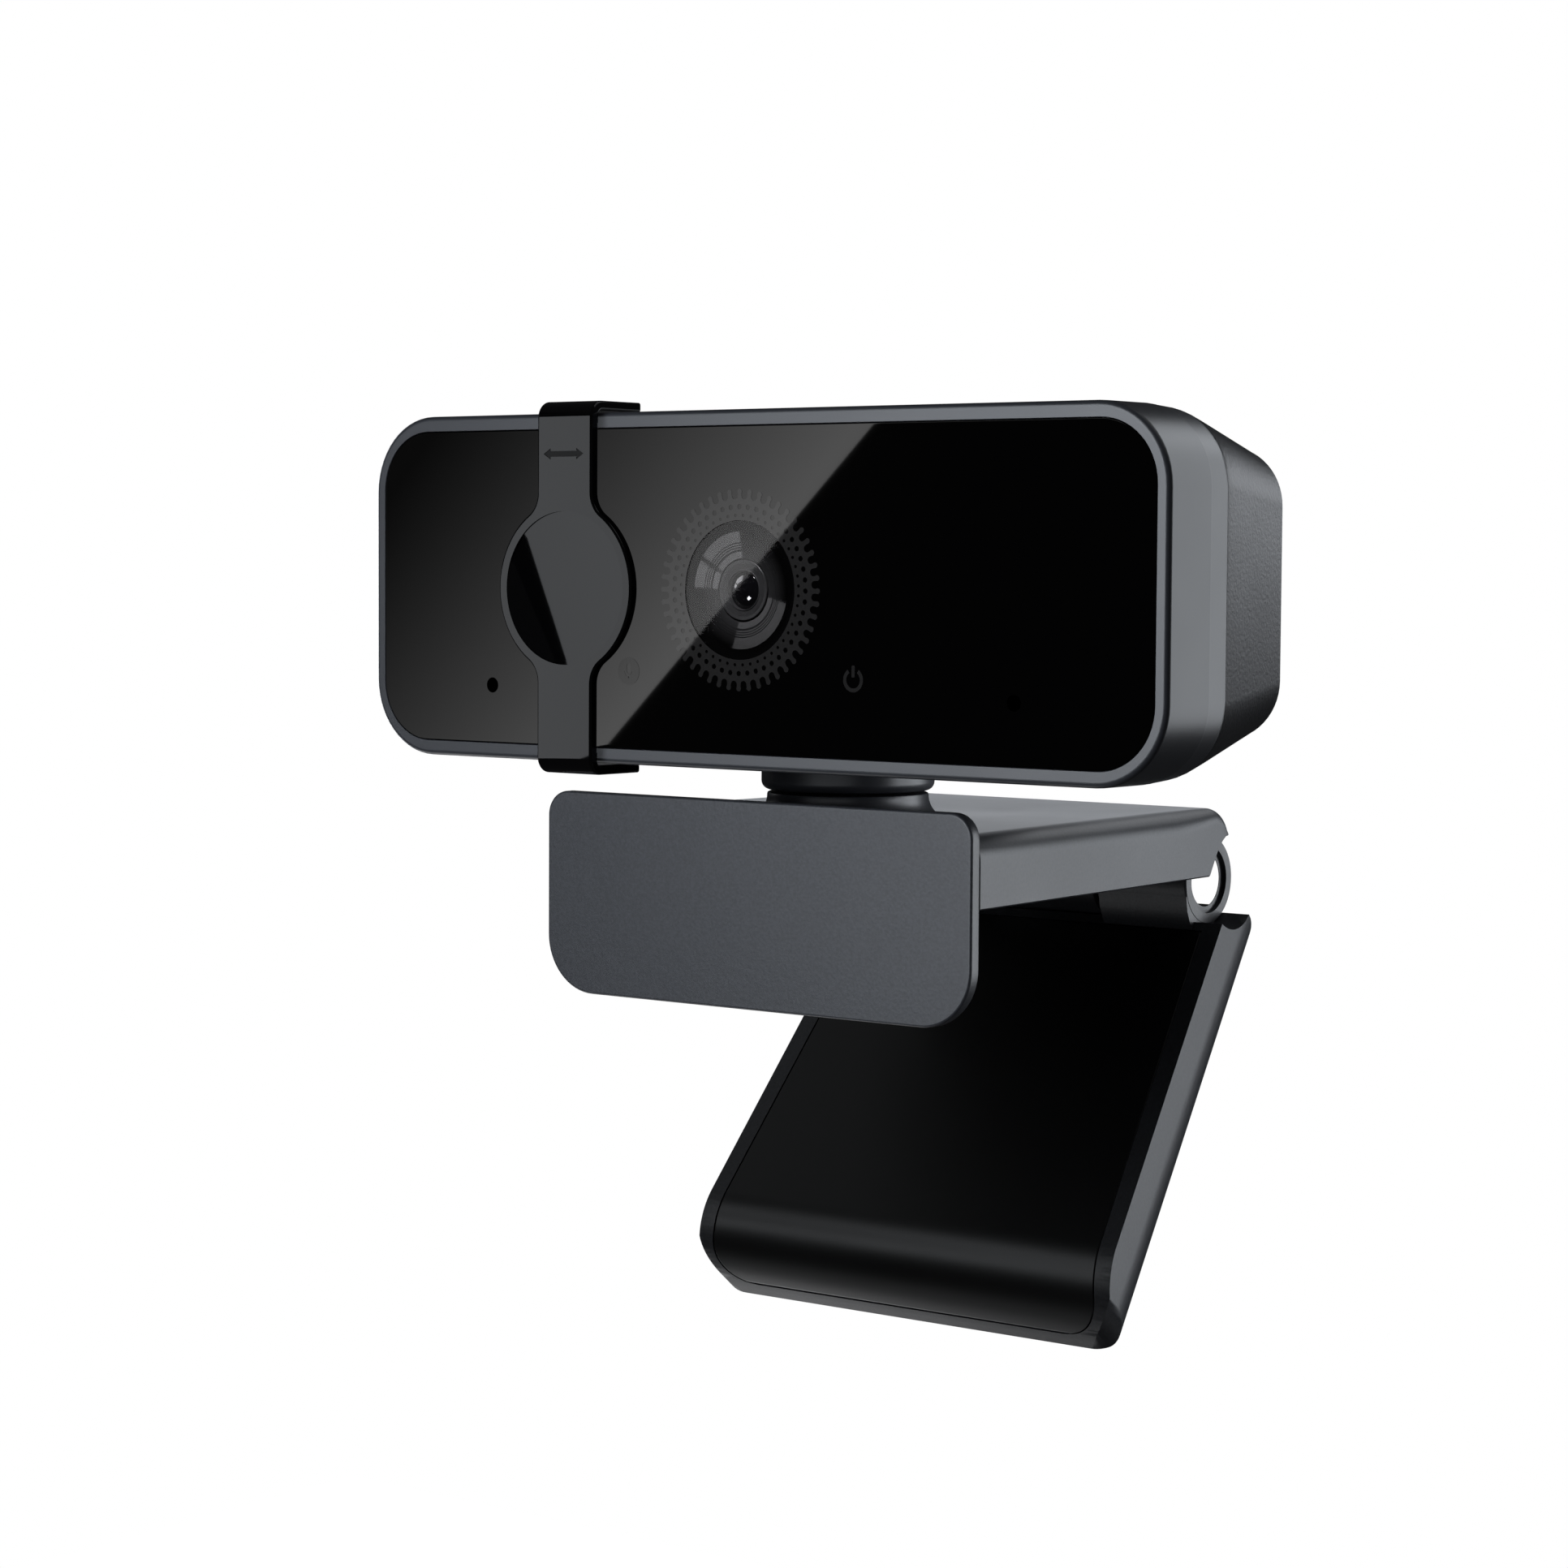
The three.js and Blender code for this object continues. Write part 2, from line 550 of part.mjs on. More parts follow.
function neckCollar() {
  const sleeve = turned('z', neckAxis, [
    [0, COLLAR_BOTTOM_Z], [COLLAR_RADIUS - COLLAR_ROUND, COLLAR_BOTTOM_Z],
    [COLLAR_RADIUS - COLLAR_ROUND * 0.3, COLLAR_BOTTOM_Z + COLLAR_ROUND * 0.3],
    [COLLAR_RADIUS, COLLAR_BOTTOM_Z + COLLAR_ROUND], [COLLAR_RADIUS, SPIGOT_TOP_Z], [0, SPIGOT_TOP_Z],
  ], 48);
  const outside = join(
    shellBody(-GAP, BAND_REAR_Y - 0.01, SHELL_REAR_Y),
    slabY(headOutline(-GAP), GLASS_Y, BAND_REAR_Y),
  );
  const spigot = rod('z', neckAxis, SPIGOT_RADIUS, COLLAR_BOTTOM_Z + 1, SPIGOT_TOP_Z, 32);
  const bore = rod('z', neckAxis, PIVOT_RADIUS + PIVOT_CLEARANCE, 0, SPIGOT_TOP_Z + 1, 20);
  return cut(join(cut(sleeve, outside), spigot), bore);
}

place('neck_collar', neckCollar(), SHELL);

function swivelBase() {
  const foot = ARM_TOP_Z + 0.05;
  const rise = BASE_TOP_Z - foot;
  const profile = [[PIVOT_RADIUS + PIVOT_CLEARANCE, BASE_TOP_Z], [BASE_TOP_RADIUS - 0.2, BASE_TOP_Z]];
  const steps = 4;
  for (let i = 0; i <= steps; i += 1) {
    const fall = i / steps;
    const flare = fall * fall;
    profile.push([BASE_TOP_RADIUS + (BASE_FOOT_RADIUS - BASE_TOP_RADIUS) * flare, BASE_TOP_Z - 0.2 - (rise - 0.2) * fall]);
  }
  profile.push([4.8, foot], [4.8, ARM_TOP_Z - ARM_ROOF + 0.1], [PIVOT_RADIUS + PIVOT_CLEARANCE, ARM_TOP_Z - ARM_ROOF + 0.1]);
  profile.push([PIVOT_RADIUS + PIVOT_CLEARANCE, BASE_TOP_Z]);
  return turned('z', neckAxis, profile, 48);
}

place('swivel_base', swivelBase(), SHELL);
place('pivot_screw', screw('z', neckAxis, SPIGOT_TOP_Z + 2.6, 2.6, 3.4, PIVOT_RADIUS), STEEL);
place('spring_washer', tube('z', neckAxis, PIVOT_RADIUS + 0.2, 4.2, 5.3, 5.9, 24), STEEL);
place('pivot_nut', cut(
  rod('z', neckAxis, 3.6, 3, 5.2, 6),
  rod('z', neckAxis, PIVOT_RADIUS + GAP, 2, 6, 14),
), STEEL);

// ------------------------------------------------------------ clip arm

const hingeAxis = [0, HINGE_Y, HINGE_Z];

function armHalfWidth(y) {
  return ARM_HALF_WIDTH - ARM_TAPER * (y - ARM_FRONT_Y);
}

// Cross-section of the arm in (x, z), rounded along its two top edges.
function armSection(y, inset, bottom, top, edge) {
  const half = armHalfWidth(y) - inset;
  return [
    new THREE.Vector2(-half, bottom), new THREE.Vector2(half, bottom),
    ...arc(half - edge, top - edge, edge, 0, Math.PI / 2), ...arc(edge - half, top - edge, edge, Math.PI / 2, Math.PI),
  ];
}

// Points of an arc about the hinge axis, in (y, z).
function hingeArc(radius, from, to, steps) {
  return arc(HINGE_Y, HINGE_Z, radius, from, to, steps);
}

const COVER_SCREWS = SIDES.flatMap(([side, x]) => [
  [`front_${side}`, x * 21.6, -15.5],
  [`rear_${side}`, x * 18.5, 21],
]);

function armShell() {
  const bottomAngle = Math.PI - Math.asin((ARM_BOTTOM_Z - HINGE_Z) / ARM_CLEARANCE_RADIUS);
  const curlZ = ARM_TOP_Z - ARM_CURL_RADIUS;
  const lipAngle = Math.acos((ARM_LIP_Y - HINGE_Y) / ARM_CLEARANCE_RADIUS);
  const side = [
    new THREE.Vector2(ARM_FRONT_Y, ARM_BOTTOM_Z),
    ...hingeArc(ARM_CLEARANCE_RADIUS, bottomAngle, lipAngle, 9),
    ...arc(ARM_LIP_Y - ARM_CURL_RADIUS, curlZ, ARM_CURL_RADIUS, 0, Math.PI / 2),
    new THREE.Vector2(ARM_FRONT_Y, ARM_TOP_Z),
  ];
  const rearY = ARM_LIP_Y + 1;
  const hull = loftY(
    armSection(ARM_FRONT_Y, 0, ARM_BOTTOM_Z - 1, ARM_TOP_Z, ARM_EDGE_RADIUS), ARM_FRONT_Y,
    armSection(rearY, 0, ARM_BOTTOM_Z - 1, ARM_TOP_Z, ARM_EDGE_RADIUS), rearY,
  );
  const roofZ = ARM_TOP_Z - ARM_ROOF;
  const hollow = cut(
    loftY(
      armSection(ARM_FRONT_Y, ARM_SIDE_WALL, ARM_BOTTOM_Z - 2, roofZ, 1.2), ARM_FRONT_Y + 1.6,
      armSection(26, ARM_SIDE_WALL, ARM_BOTTOM_Z - 2, roofZ, 1.2), 26,
    ),
    rod('x', hingeAxis, ARM_CLEARANCE_RADIUS + 1.5, -30, 30, 40),
  );
  let shell = cut(hull.intersect(slabX(side, -30, 30)), hollow);
  const tongue = slabX(rectangle(25.5, HINGE_Y - 1, ARM_BOTTOM_Z, 5), -CENTRE_KNUCKLE_HALF, CENTRE_KNUCKLE_HALF);
  const knuckle = rod('x', hingeAxis, KNUCKLE_RADIUS, -CENTRE_KNUCKLE_HALF, CENTRE_KNUCKLE_HALF, 40);
  shell = join(shell, tongue, knuckle);
  for (const [, x, y] of COVER_SCREWS) {
    shell = join(shell, rod('z', [x, y, 0], 2.4, COVER_TOP_Z + 0.05, roofZ + 0.5, 18));
    shell = cut(shell, rod('z', [x, y, 0], SCREW_BORE_RADIUS, 0, roofZ - 0.5, 14));
  }
  const tabSlots = SIDES.map(([, x]) => slabY(rectangle(x * 13 - 3.2, x * 13 + 3.2, 2.9, 5.1),
    ARM_FRONT_Y - 1, ARM_FRONT_Y + 3));
  return cut(
    shell,
    rod('x', hingeAxis, PIN_RADIUS + GAP, -10, 10, 20),
    rod('z', neckAxis, 5, roofZ - 1, ARM_TOP_Z + 1, 28),
    ...tabSlots,
  );
}

// Front plate with two snap tabs that hook through the arm's front wall.
function frontPlate() {
  const outline = roundedBox(-ARM_HALF_WIDTH, ARM_HALF_WIDTH, PLATE_BOTTOM_Z, PLATE_TOP_Z,
    PLATE_TOP_CORNER, PLATE_BOTTOM_CORNER);
  const plate = slabY(outline, PLATE_FRONT_Y, PLATE_REAR_Y);
  const tabs = SIDES.map(([, x]) => slabY(rectangle(x * 13 - 3, x * 13 + 3, 3.1, 4.9), PLATE_REAR_Y - 0.5, ARM_FRONT_Y + 2.6));
  return join(plate, ...tabs);
}

const COVER_FRONT_Y = ARM_FRONT_Y + 1.8;
const COVER_END_Y = 24.6;
const COVER_TOP_Z = ARM_BOTTOM_Z + 1.9;
const SEAT_FRONT_Y = -18;
const SEAT_REAR_Y = 18;
const SEAT_HALF_WIDTH = 19;
const TRIPOD_Y = 13;

// Plan of the underside cover, tapering with the arm.
function armCover() {
  const inset = ARM_SIDE_WALL + 0.15;
  const [front, rear] = [armHalfWidth(COVER_FRONT_Y) - inset, armHalfWidth(COVER_END_Y) - inset];
  const plan = [[-front, COVER_FRONT_Y], [front, COVER_FRONT_Y], [rear, COVER_END_Y], [-rear, COVER_END_Y]]
    .map(([x, y]) => new THREE.Vector2(x, y));
  const plate = slabZ(plan, ARM_BOTTOM_Z, COVER_TOP_Z);
  const seat = slabZ(roundedBox(-SEAT_HALF_WIDTH - GAP, SEAT_HALF_WIDTH + GAP,
    SEAT_FRONT_Y - GAP, SEAT_REAR_Y + GAP, 2), -1, ARM_BOTTOM_Z + 0.6);
  const screwHoles = COVER_SCREWS.flatMap(([, x, y]) => [
    rod('z', [x, y, 0], SCREW_BORE_RADIUS, 0, 3, 14),
    rod('z', [x, y, 0], SCREW_HEAD_RADIUS + 0.1, 0, ARM_BOTTOM_Z + 1.45, 18),
  ]);
  return cut(plate, seat, ...screwHoles);
}

place('arm_shell', armShell(), SHELL);
place('front_plate', frontPlate(), SHELL);
place('plate_strip', slabY(roundedBox(-20, 20, -5.6, -1.2, 1), PLATE_REAR_Y + 0.02, PLATE_REAR_Y + 0.6), RUBBER);
place('arm_cover', armCover(), BLACK);
place('seat_pad', slabZ(roundedBox(-SEAT_HALF_WIDTH, SEAT_HALF_WIDTH, SEAT_FRONT_Y, SEAT_REAR_Y, 1.9),
  0, ARM_BOTTOM_Z + 0.5), RUBBER);
for (const [name, x, y] of COVER_SCREWS) {
  place(`cover_screw_${name}`, screw('z', [x, y, 0], ARM_BOTTOM_Z + 0.05, 4.8, 1.8, 0.95), STEEL);
}

// ------------------------------------------------------------ leg, in its own hinge frame
// The origin is the hinge axis, -Z runs down the leg and -Y is its front.

const legAxis = [0, 0, 0];
const toeStart = -(LEG_LENGTH - TOE_RADIUS);

function legSection(z) {
  const half = LEG_TOP_HALF_WIDTH - LEG_FLARE * z;
  const rear = LEG_FRONT + LEG_THICKNESS;
  const side = LEG_FRONT + LEG_SIDE_THICKNESS;
  const points = [new THREE.Vector2(-half, LEG_FRONT), new THREE.Vector2(half, LEG_FRONT)];
  const steps = 8;
  for (const sign of [1, -1]) {
    for (let i = 0; i <= steps; i += 1) {
      const along = sign > 0 ? i / steps : 1 - i / steps;
      const turn = along * Math.PI / 2;
      const inward = LEG_CROWN_WIDTH * (1 - Math.cos(turn));
      points.push(new THREE.Vector2(sign * (half - inward), side + (rear - side) * Math.sin(turn)));
    }
  }
  return points;
}

// Side profile of the leg in (y, z): straight front, round toe, and a top cut round the knuckles.
function legProfile() {
  const rear = LEG_FRONT + LEG_THICKNESS + 1;
  const frontAngle = -Math.acos(LEG_FRONT / KNUCKLE_CLEARANCE_RADIUS);
  const ridgeAngle = THREE.MathUtils.degToRad(-9);
  const ridge = arc(0, 0, KNUCKLE_CLEARANCE_RADIUS, frontAngle, ridgeAngle, 8);
  const last = ridge[ridge.length - 1];
  const shoulder = new THREE.QuadraticBezierCurve(
    last, new THREE.Vector2(rear, last.y), new THREE.Vector2(rear, last.y - 7),
  ).getPoints(6).slice(1);
  const toe = arc(LEG_FRONT + TOE_RADIUS, toeStart, TOE_RADIUS, Math.PI, 1.5 * Math.PI, 12);
  return [...toe, new THREE.Vector2(rear, -LEG_LENGTH), ...shoulder.reverse(), ...ridge.reverse()];
}

function taperedPlan(topHalf, flare, top, bottom, corner) {
  const lower = topHalf - flare * (bottom + corner);
  const end = topHalf - flare * bottom;
  return [
    new THREE.Vector2(topHalf - flare * top, top), new THREE.Vector2(flare * top - topHalf, top),
    new THREE.Vector2(-lower, bottom + corner),
    ...arc(corner - end, bottom + corner, corner, Math.PI, 1.5 * Math.PI).slice(1),
    ...arc(end - corner, bottom + corner, corner, -Math.PI / 2, 0).slice(0, -1),
    new THREE.Vector2(lower, bottom + corner),
  ];
}

// Skin of the leg's front between two depths below its surface, down round the toe.
function frontSkin(outer, inner, top, wrap) {
  const centre = LEG_FRONT + TOE_RADIUS;
  const outside = arc(centre, toeStart, TOE_RADIUS - outer, Math.PI, Math.PI + wrap, 12);
  const inside = arc(centre, toeStart, TOE_RADIUS - inner, Math.PI + wrap, Math.PI, 12);
  return [
    new THREE.Vector2(LEG_FRONT + outer, top), ...outside, ...inside, new THREE.Vector2(LEG_FRONT + inner, top),
  ];
}

function legKnuckle(side) {
  const along = (from, to) => [Math.min(side * from, side * to), Math.max(side * from, side * to)];
  const [start, end] = along(LEG_KNUCKLE_START, LEG_KNUCKLE_END);
  const [openStart, openEnd] = along(LEG_KNUCKLE_START + KNUCKLE_WEB, LEG_KNUCKLE_END + 1);
  const [windowStart, windowEnd] = along(LEG_KNUCKLE_START + KNUCKLE_WEB, LEG_KNUCKLE_END - KNUCKLE_RING);
  const barrel = rod('x', legAxis, KNUCKLE_RADIUS, start, end, 40);
  const foot = slabX([[-2.6, -4.1], [-1.4, -5.2], [LEG_FRONT, -6.2], [4, -6.2], [4, -2.4], [0, 0]]
    .map(([y, z]) => new THREE.Vector2(y, z)), start, end);
  const bore = rod('x', legAxis, KNUCKLE_BORE, openStart, openEnd, 32);
  const windowShape = rectangle(1, 6, -3.1, 6).map((p) => p.rotateAround(new THREE.Vector2(), LEG_LEAN));
  return cut(join(barrel, foot), bore, slabX(windowShape, windowStart, windowEnd));
}

function legFrame() {
  const blank = loftZ(legSection(-LEG_LENGTH - 1), -LEG_LENGTH - 1, legSection(2), 2);
  const plan = slabY(taperedPlan(LEG_TOP_HALF_WIDTH, LEG_FLARE, 2, -LEG_LENGTH, TOE_CORNER), -1, 12);
  const body = blank.intersect(slabX(legProfile(), -30, 30)).intersect(plan);
  const padPlan = slabY(taperedPlan(PAD_TOP_HALF_WIDTH + TURNED_GAP, PAD_FLARE, PAD_TOP + TURNED_GAP,
    -LEG_LENGTH - 1, PAD_CORNER), -1, 12);
  const recess = slabX(frontSkin(-1, PAD_THICKNESS + TURNED_GAP, PAD_TOP + TURNED_GAP, PAD_WRAP + 0.04), -30, 30);
  const core = slabY(taperedPlan(PAD_TOP_HALF_WIDTH - 2, PAD_FLARE, PAD_TOP - 3, toeStart, 2),
    LEG_FRONT - 1, LEG_FRONT + 4.4);
  return cut(
    join(body, legKnuckle(1), legKnuckle(-1)),
    recess.intersect(padPlan), core, rod('x', legAxis, PIN_RADIUS + TURNED_GAP, -13, 13, 20),
  );
}

function legPad() {
  const bottom = toeStart - TOE_RADIUS * Math.sin(PAD_WRAP);
  const plan = slabY(taperedPlan(PAD_TOP_HALF_WIDTH, PAD_FLARE, PAD_TOP, bottom - 0.01, PAD_CORNER), -1, 12);
  return slabX(frontSkin(0, PAD_THICKNESS, PAD_TOP, PAD_WRAP), -30, 30).intersect(plan);
}

place('leg_frame', legFrame(), SHELL, leg);
place('leg_pad', legPad(), RUBBER, leg);
place('hinge_pin', rod('x', legAxis, PIN_RADIUS, -11.2, 11.2, 20), STEEL, leg);
for (const [name, side] of SIDES) {
  const faces = [side * (CENTRE_KNUCKLE_HALF + 0.08), side * (LEG_KNUCKLE_START - 0.08)].sort((a, b) => a - b);
  place(`hinge_washer_${name}`, tube('x', legAxis, PIN_RADIUS + TURNED_GAP, KNUCKLE_RADIUS - 0.4, ...faces, 28),
    STEEL, leg);
}

export default webcam;
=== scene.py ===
# Looks for the clip-on webcam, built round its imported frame.
# Lengths are in millimetres, and become metres where meshes, lights and the camera are made.
# X runs along the head, Y from its glass towards its back, and Z up.

import json
import math

import bmesh
import bpy
from mathutils import Matrix, Vector

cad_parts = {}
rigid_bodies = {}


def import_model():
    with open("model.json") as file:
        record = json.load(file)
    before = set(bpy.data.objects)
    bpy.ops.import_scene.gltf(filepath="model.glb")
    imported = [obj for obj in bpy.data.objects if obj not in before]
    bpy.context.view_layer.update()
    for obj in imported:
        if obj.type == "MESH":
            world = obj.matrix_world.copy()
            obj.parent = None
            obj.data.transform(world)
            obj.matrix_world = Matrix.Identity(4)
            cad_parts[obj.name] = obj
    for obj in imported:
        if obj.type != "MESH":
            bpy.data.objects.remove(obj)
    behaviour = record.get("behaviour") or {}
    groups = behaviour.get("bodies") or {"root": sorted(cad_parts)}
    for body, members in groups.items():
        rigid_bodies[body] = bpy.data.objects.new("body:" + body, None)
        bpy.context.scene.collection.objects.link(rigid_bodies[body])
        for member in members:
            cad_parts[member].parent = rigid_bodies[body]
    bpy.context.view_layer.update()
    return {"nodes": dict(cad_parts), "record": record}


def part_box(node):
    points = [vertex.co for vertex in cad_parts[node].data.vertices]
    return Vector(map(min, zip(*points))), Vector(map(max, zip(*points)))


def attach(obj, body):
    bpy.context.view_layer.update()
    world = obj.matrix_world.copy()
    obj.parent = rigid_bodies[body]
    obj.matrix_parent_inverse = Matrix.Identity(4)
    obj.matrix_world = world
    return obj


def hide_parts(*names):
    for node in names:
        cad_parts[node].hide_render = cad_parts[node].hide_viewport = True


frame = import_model()

MM = 0.001
QUARTER = math.pi / 2


# ---------- places taken from the frame

def node_box(node):
    """A CAD node's lowest and highest corners, to the nearest hundredth of a millimetre."""
    return [[round(value / MM, 2) for value in corner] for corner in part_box(node)]


def node_centre(node):
    return [(low + high) / 2 for low, high in zip(*node_box(node))]


GLASS_Y = node_box("front_panel")[0][1]
LENS_Z = node_centre("lens_window")[2]
BAND_REAR_Y = GLASS_Y + 10.7
SHELL_REAR_Y = node_box("rear_shell")[1][1]
COVER_X = node_centre("privacy_cover")[0]
NECK_Y = node_centre("neck_collar")[1]
HINGE_Y, HINGE_Z = node_centre("hinge_pin")[1:]

LENS_CENTRE = (0, 0, LENS_Z)
NECK_AXIS = (0, NECK_Y, 0)
HINGE_CENTRE = (0, HINGE_Y, HINGE_Z)


# ---------- outlines and solids

def arc(cx, cy, radius, start, end, steps):
    """Points of a circular arc, both ends included."""
    return [(cx + radius * math.cos(start + (end - start) * i / steps),
             cy + radius * math.sin(start + (end - start) * i / steps)) for i in range(steps + 1)]


def circle(cx, cy, radius, steps=24):
    return [(cx + radius * math.cos(2 * math.pi * i / steps), cy + radius * math.sin(2 * math.pi * i / steps))
            for i in range(steps)]


def ring_sector(cx, cz, inner, outer, start, end, steps):
    return arc(cx, cz, outer, start, end, steps) + arc(cx, cz, inner, end, start, steps)


def rounded_box(x0, x1, y0, y1, top, bottom=None, steps=14):
    """Rectangle with rounded corners; the lower two may have a radius of their own."""
    bottom = top if bottom is None else bottom
    return (arc(x1 - bottom, y0 + bottom, bottom, -QUARTER, 0, steps)
            + arc(x1 - top, y1 - top, top, 0, QUARTER, steps)
            + arc(x0 + top, y1 - top, top, QUARTER, 2 * QUARTER, steps)
            + arc(x0 + bottom, y0 + bottom, bottom, 2 * QUARTER, 3 * QUARTER, steps))


def rounded_edge(width, steps):
    """Steps (inset, advance) of a quarter-round edge, from its flank to its face."""
    for i in range(steps + 1):
        angle = QUARTER * i / steps
        yield width * (1 - math.cos(angle)), width * math.sin(angle)


def in_xz(points, y):
    return [(x, y, z) for x, z in points]


def in_xy(points, z):
    return [(x, y, z) for x, y in points]


def in_yz(points, x):
    return [(x, y, z) for y, z in points]


def stack(loops, ring=False):
    """Quads between loops of equal length; the two ends are capped, or joined when it is a ring."""
    count = len(loops[0])
    verts = [Vector(p) for loop in loops for p in loop]
    faces = []
    pairs = [(i, i + 1) for i in range(len(loops) - 1)]
    if ring:
        pairs.append((len(loops) - 1, 0))
    for a, b in pairs:
        for i in range(count):
            j = (i + 1) % count
            faces.append((a * count + i, a * count + j, b * count + j, b * count + i))
    if not ring:
        faces.append(tuple(range(count)))
        faces.append(tuple((len(loops) - 1) * count + i for i in range(count)))
    return verts, faces


def lathe(profile, centre, axis, steps=96, ring=True):
    """Solid of revolution of a profile of (radius, position along the axis), closed or else capped."""
    loops = []
    for radius, along in profile:
        loop = []
        for u, v in circle(0, 0, radius, steps):
            point = {"x": (along, u, v), "y": (u, along, v), "z": (u, v, along)}[axis]
            loop.append(tuple(p + c for p, c in zip(point, centre)))
        loops.append(loop)
    return stack(loops, ring)


def rod(axis, centre, radius, start, end, steps=48):
    return lathe([(radius, start), (radius, end)], centre, axis, steps, ring=False)


def prism(outline, axis, low, high):
    """Straight solid of an outline that lies square to the axis."""
    place = {"x": in_yz, "y": in_xz, "z": in_xy}[axis]
    return stack([place(outline, low), place(outline, high)])


# ---------- objects

def make(name, shape):
    """A closed mesh object from vertices and faces given in millimetres."""
    verts, faces = shape
    grid = bmesh.new()
    made = [grid.verts.new(Vector(v) * MM) for v in verts]
    for face in faces:
        grid.faces.new([made[i] for i in face])
    bmesh.ops.remove_doubles(grid, verts=grid.verts, dist=1e-7)
    bmesh.ops.dissolve_degenerate(grid, edges=grid.edges, dist=1e-7)
    bmesh.ops.recalc_face_normals(grid, faces=grid.faces)
    mesh = bpy.data.meshes.new(name)
    grid.to_mesh(mesh)
    grid.free()
    return place_in_scene(name, mesh)


def place_in_scene(name, data):
    obj = bpy.data.objects.new(name, data)
    bpy.context.scene.collection.objects.link(obj)
    return obj


def evaluated_mesh(obj):
    """The object's shape as plain mesh, with its modifiers or curve settings applied."""
    bpy.context.view_layer.update()
    depsgraph = bpy.context.evaluated_depsgraph_get()
    return bpy.data.meshes.new_from_object(obj.evaluated_get(depsgraph))


def settle(obj):
    mesh = evaluated_mesh(obj)
    obj.modifiers.clear()
    obj.data = mesh


def combine(obj, operation, *shapes):
    """Boolean of the object with each shape in turn."""
    for shape in shapes:
        tool = make("tool", shape)
        step = obj.modifiers.new("cut", "BOOLEAN")
        step.operation = operation
        step.solver = "EXACT"
        step.object = tool
        settle(obj)
        bpy.data.objects.remove(tool)


def soften(obj, width, segments, angle):
    bevel = obj.modifiers.new("edges", "BEVEL")
    bevel.width = width * MM
    bevel.segments = segments
    bevel.limit_method = "ANGLE"
    bevel.angle_limit = math.radians(angle)
    settle(obj)


def finish(obj, material, body, slot, node=None, sharp=32):
    """Shades the piece, sets it on the body it rides on, and hides the CAD node it stands for."""
    obj.data.materials.clear()
    obj.data.materials.append(material)
    for face in obj.data.polygons:
        face.use_smooth = True
        face.material_index = 0
    obj.data.set_sharp_from_angle(angle=math.radians(sharp))
    weighted = obj.modifiers.new("normals", "WEIGHTED_NORMAL")
    weighted.keep_sharp = True
    weighted.weight = 80
    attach(obj, body)
    if node:
        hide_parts(node)


# ---------- materials

class Look:
    """A material under construction, with the steps that the finishes share."""

    def __init__(self, name):
        self.material = bpy.data.materials.new(name)
        self.material.use_nodes = True
        self.nodes = self.material.node_tree.nodes
        self.shading = self.nodes["Principled BSDF"]

    def add(self, kind, values=(), **settings):
        """A new shader node, with (socket, value) pairs for its inputs."""
        node = self.nodes.new("ShaderNode" + kind)
        for socket, value in values:
            node.inputs[socket].default_value = value
        for name, value in settings.items():
            setattr(node, name, value)
        return node

    def link(self, source, node, socket):
        self.material.node_tree.links.new(source, node.inputs[socket])

    def shade(self, socket, source):
        self.link(source, self.shading, socket)

    def show(self, node, output):
        """Makes a node the material's surface, in place of the usual shader."""
        self.link(node.outputs[output], self.nodes["Material Output"], "Surface")
        self.nodes.remove(self.shading)

    def grain(self, scale, detail):
        noise = self.add("TexNoise", [("Scale", scale), ("Detail", detail)])
        self.link(self.add("TexCoord").outputs["Object"], noise, "Vector")
        return noise.outputs["Fac"]

    def ranged(self, source, low, high, at=(0.3, 0.7)):
        span = self.add("MapRange", [("From Min", at[0]), ("From Max", at[1]), ("To Min", low),
                                     ("To Max", high)])
        self.link(source, span, "Value")
        return span.outputs["Result"]

    def tinted(self, source, dark, light, at=(0.3, 0.7)):
        ramp = self.add("ValToRGB")
        for stop, position, color in zip(ramp.color_ramp.elements, at, (dark, light)):
            stop.position, stop.color = position, (*color, 1)
        self.link(source, ramp, "Fac")
        return ramp.outputs["Color"]

    def bump(self, source, strength, depth):
        bump = self.add("Bump", [("Strength", strength), ("Distance", depth * MM)])
        self.link(source, bump, "Height")
        self.shade("Normal", bump.outputs["Normal"])


def moulded(name, color, roughness, texture, scale, depth, spread=0.12, specular=0.5):
    """Moulded plastic: fine grain of some texture, scale and depth, and broad patches in its gloss."""
    look = Look(name)
    fine, broad = look.grain(scale, 2), look.grain(60, 4)
    dark, light = (tuple(c * (1 + shift) for c in color) for shift in (-spread, spread))
    look.shade("Base Color", look.tinted(fine, dark, light))
    look.shade("Roughness", look.ranged(broad, roughness * 0.95, roughness * 1.05))
    look.bump(fine, texture, depth)
    look.shading.inputs["Specular IOR Level"].default_value = specular
    return look.material


def metal(name, color, roughness):
    look = Look(name)
    fine = look.grain(4000, 4)
    look.shade("Base Color", look.tinted(fine, tuple(c * 0.85 for c in color), color))
    look.shade("Roughness", look.ranged(fine, roughness * 0.8, roughness * 1.3))
    look.bump(fine, 0.2, 0.004)
    look.shading.inputs["Metallic"].default_value = 1
    return look.material


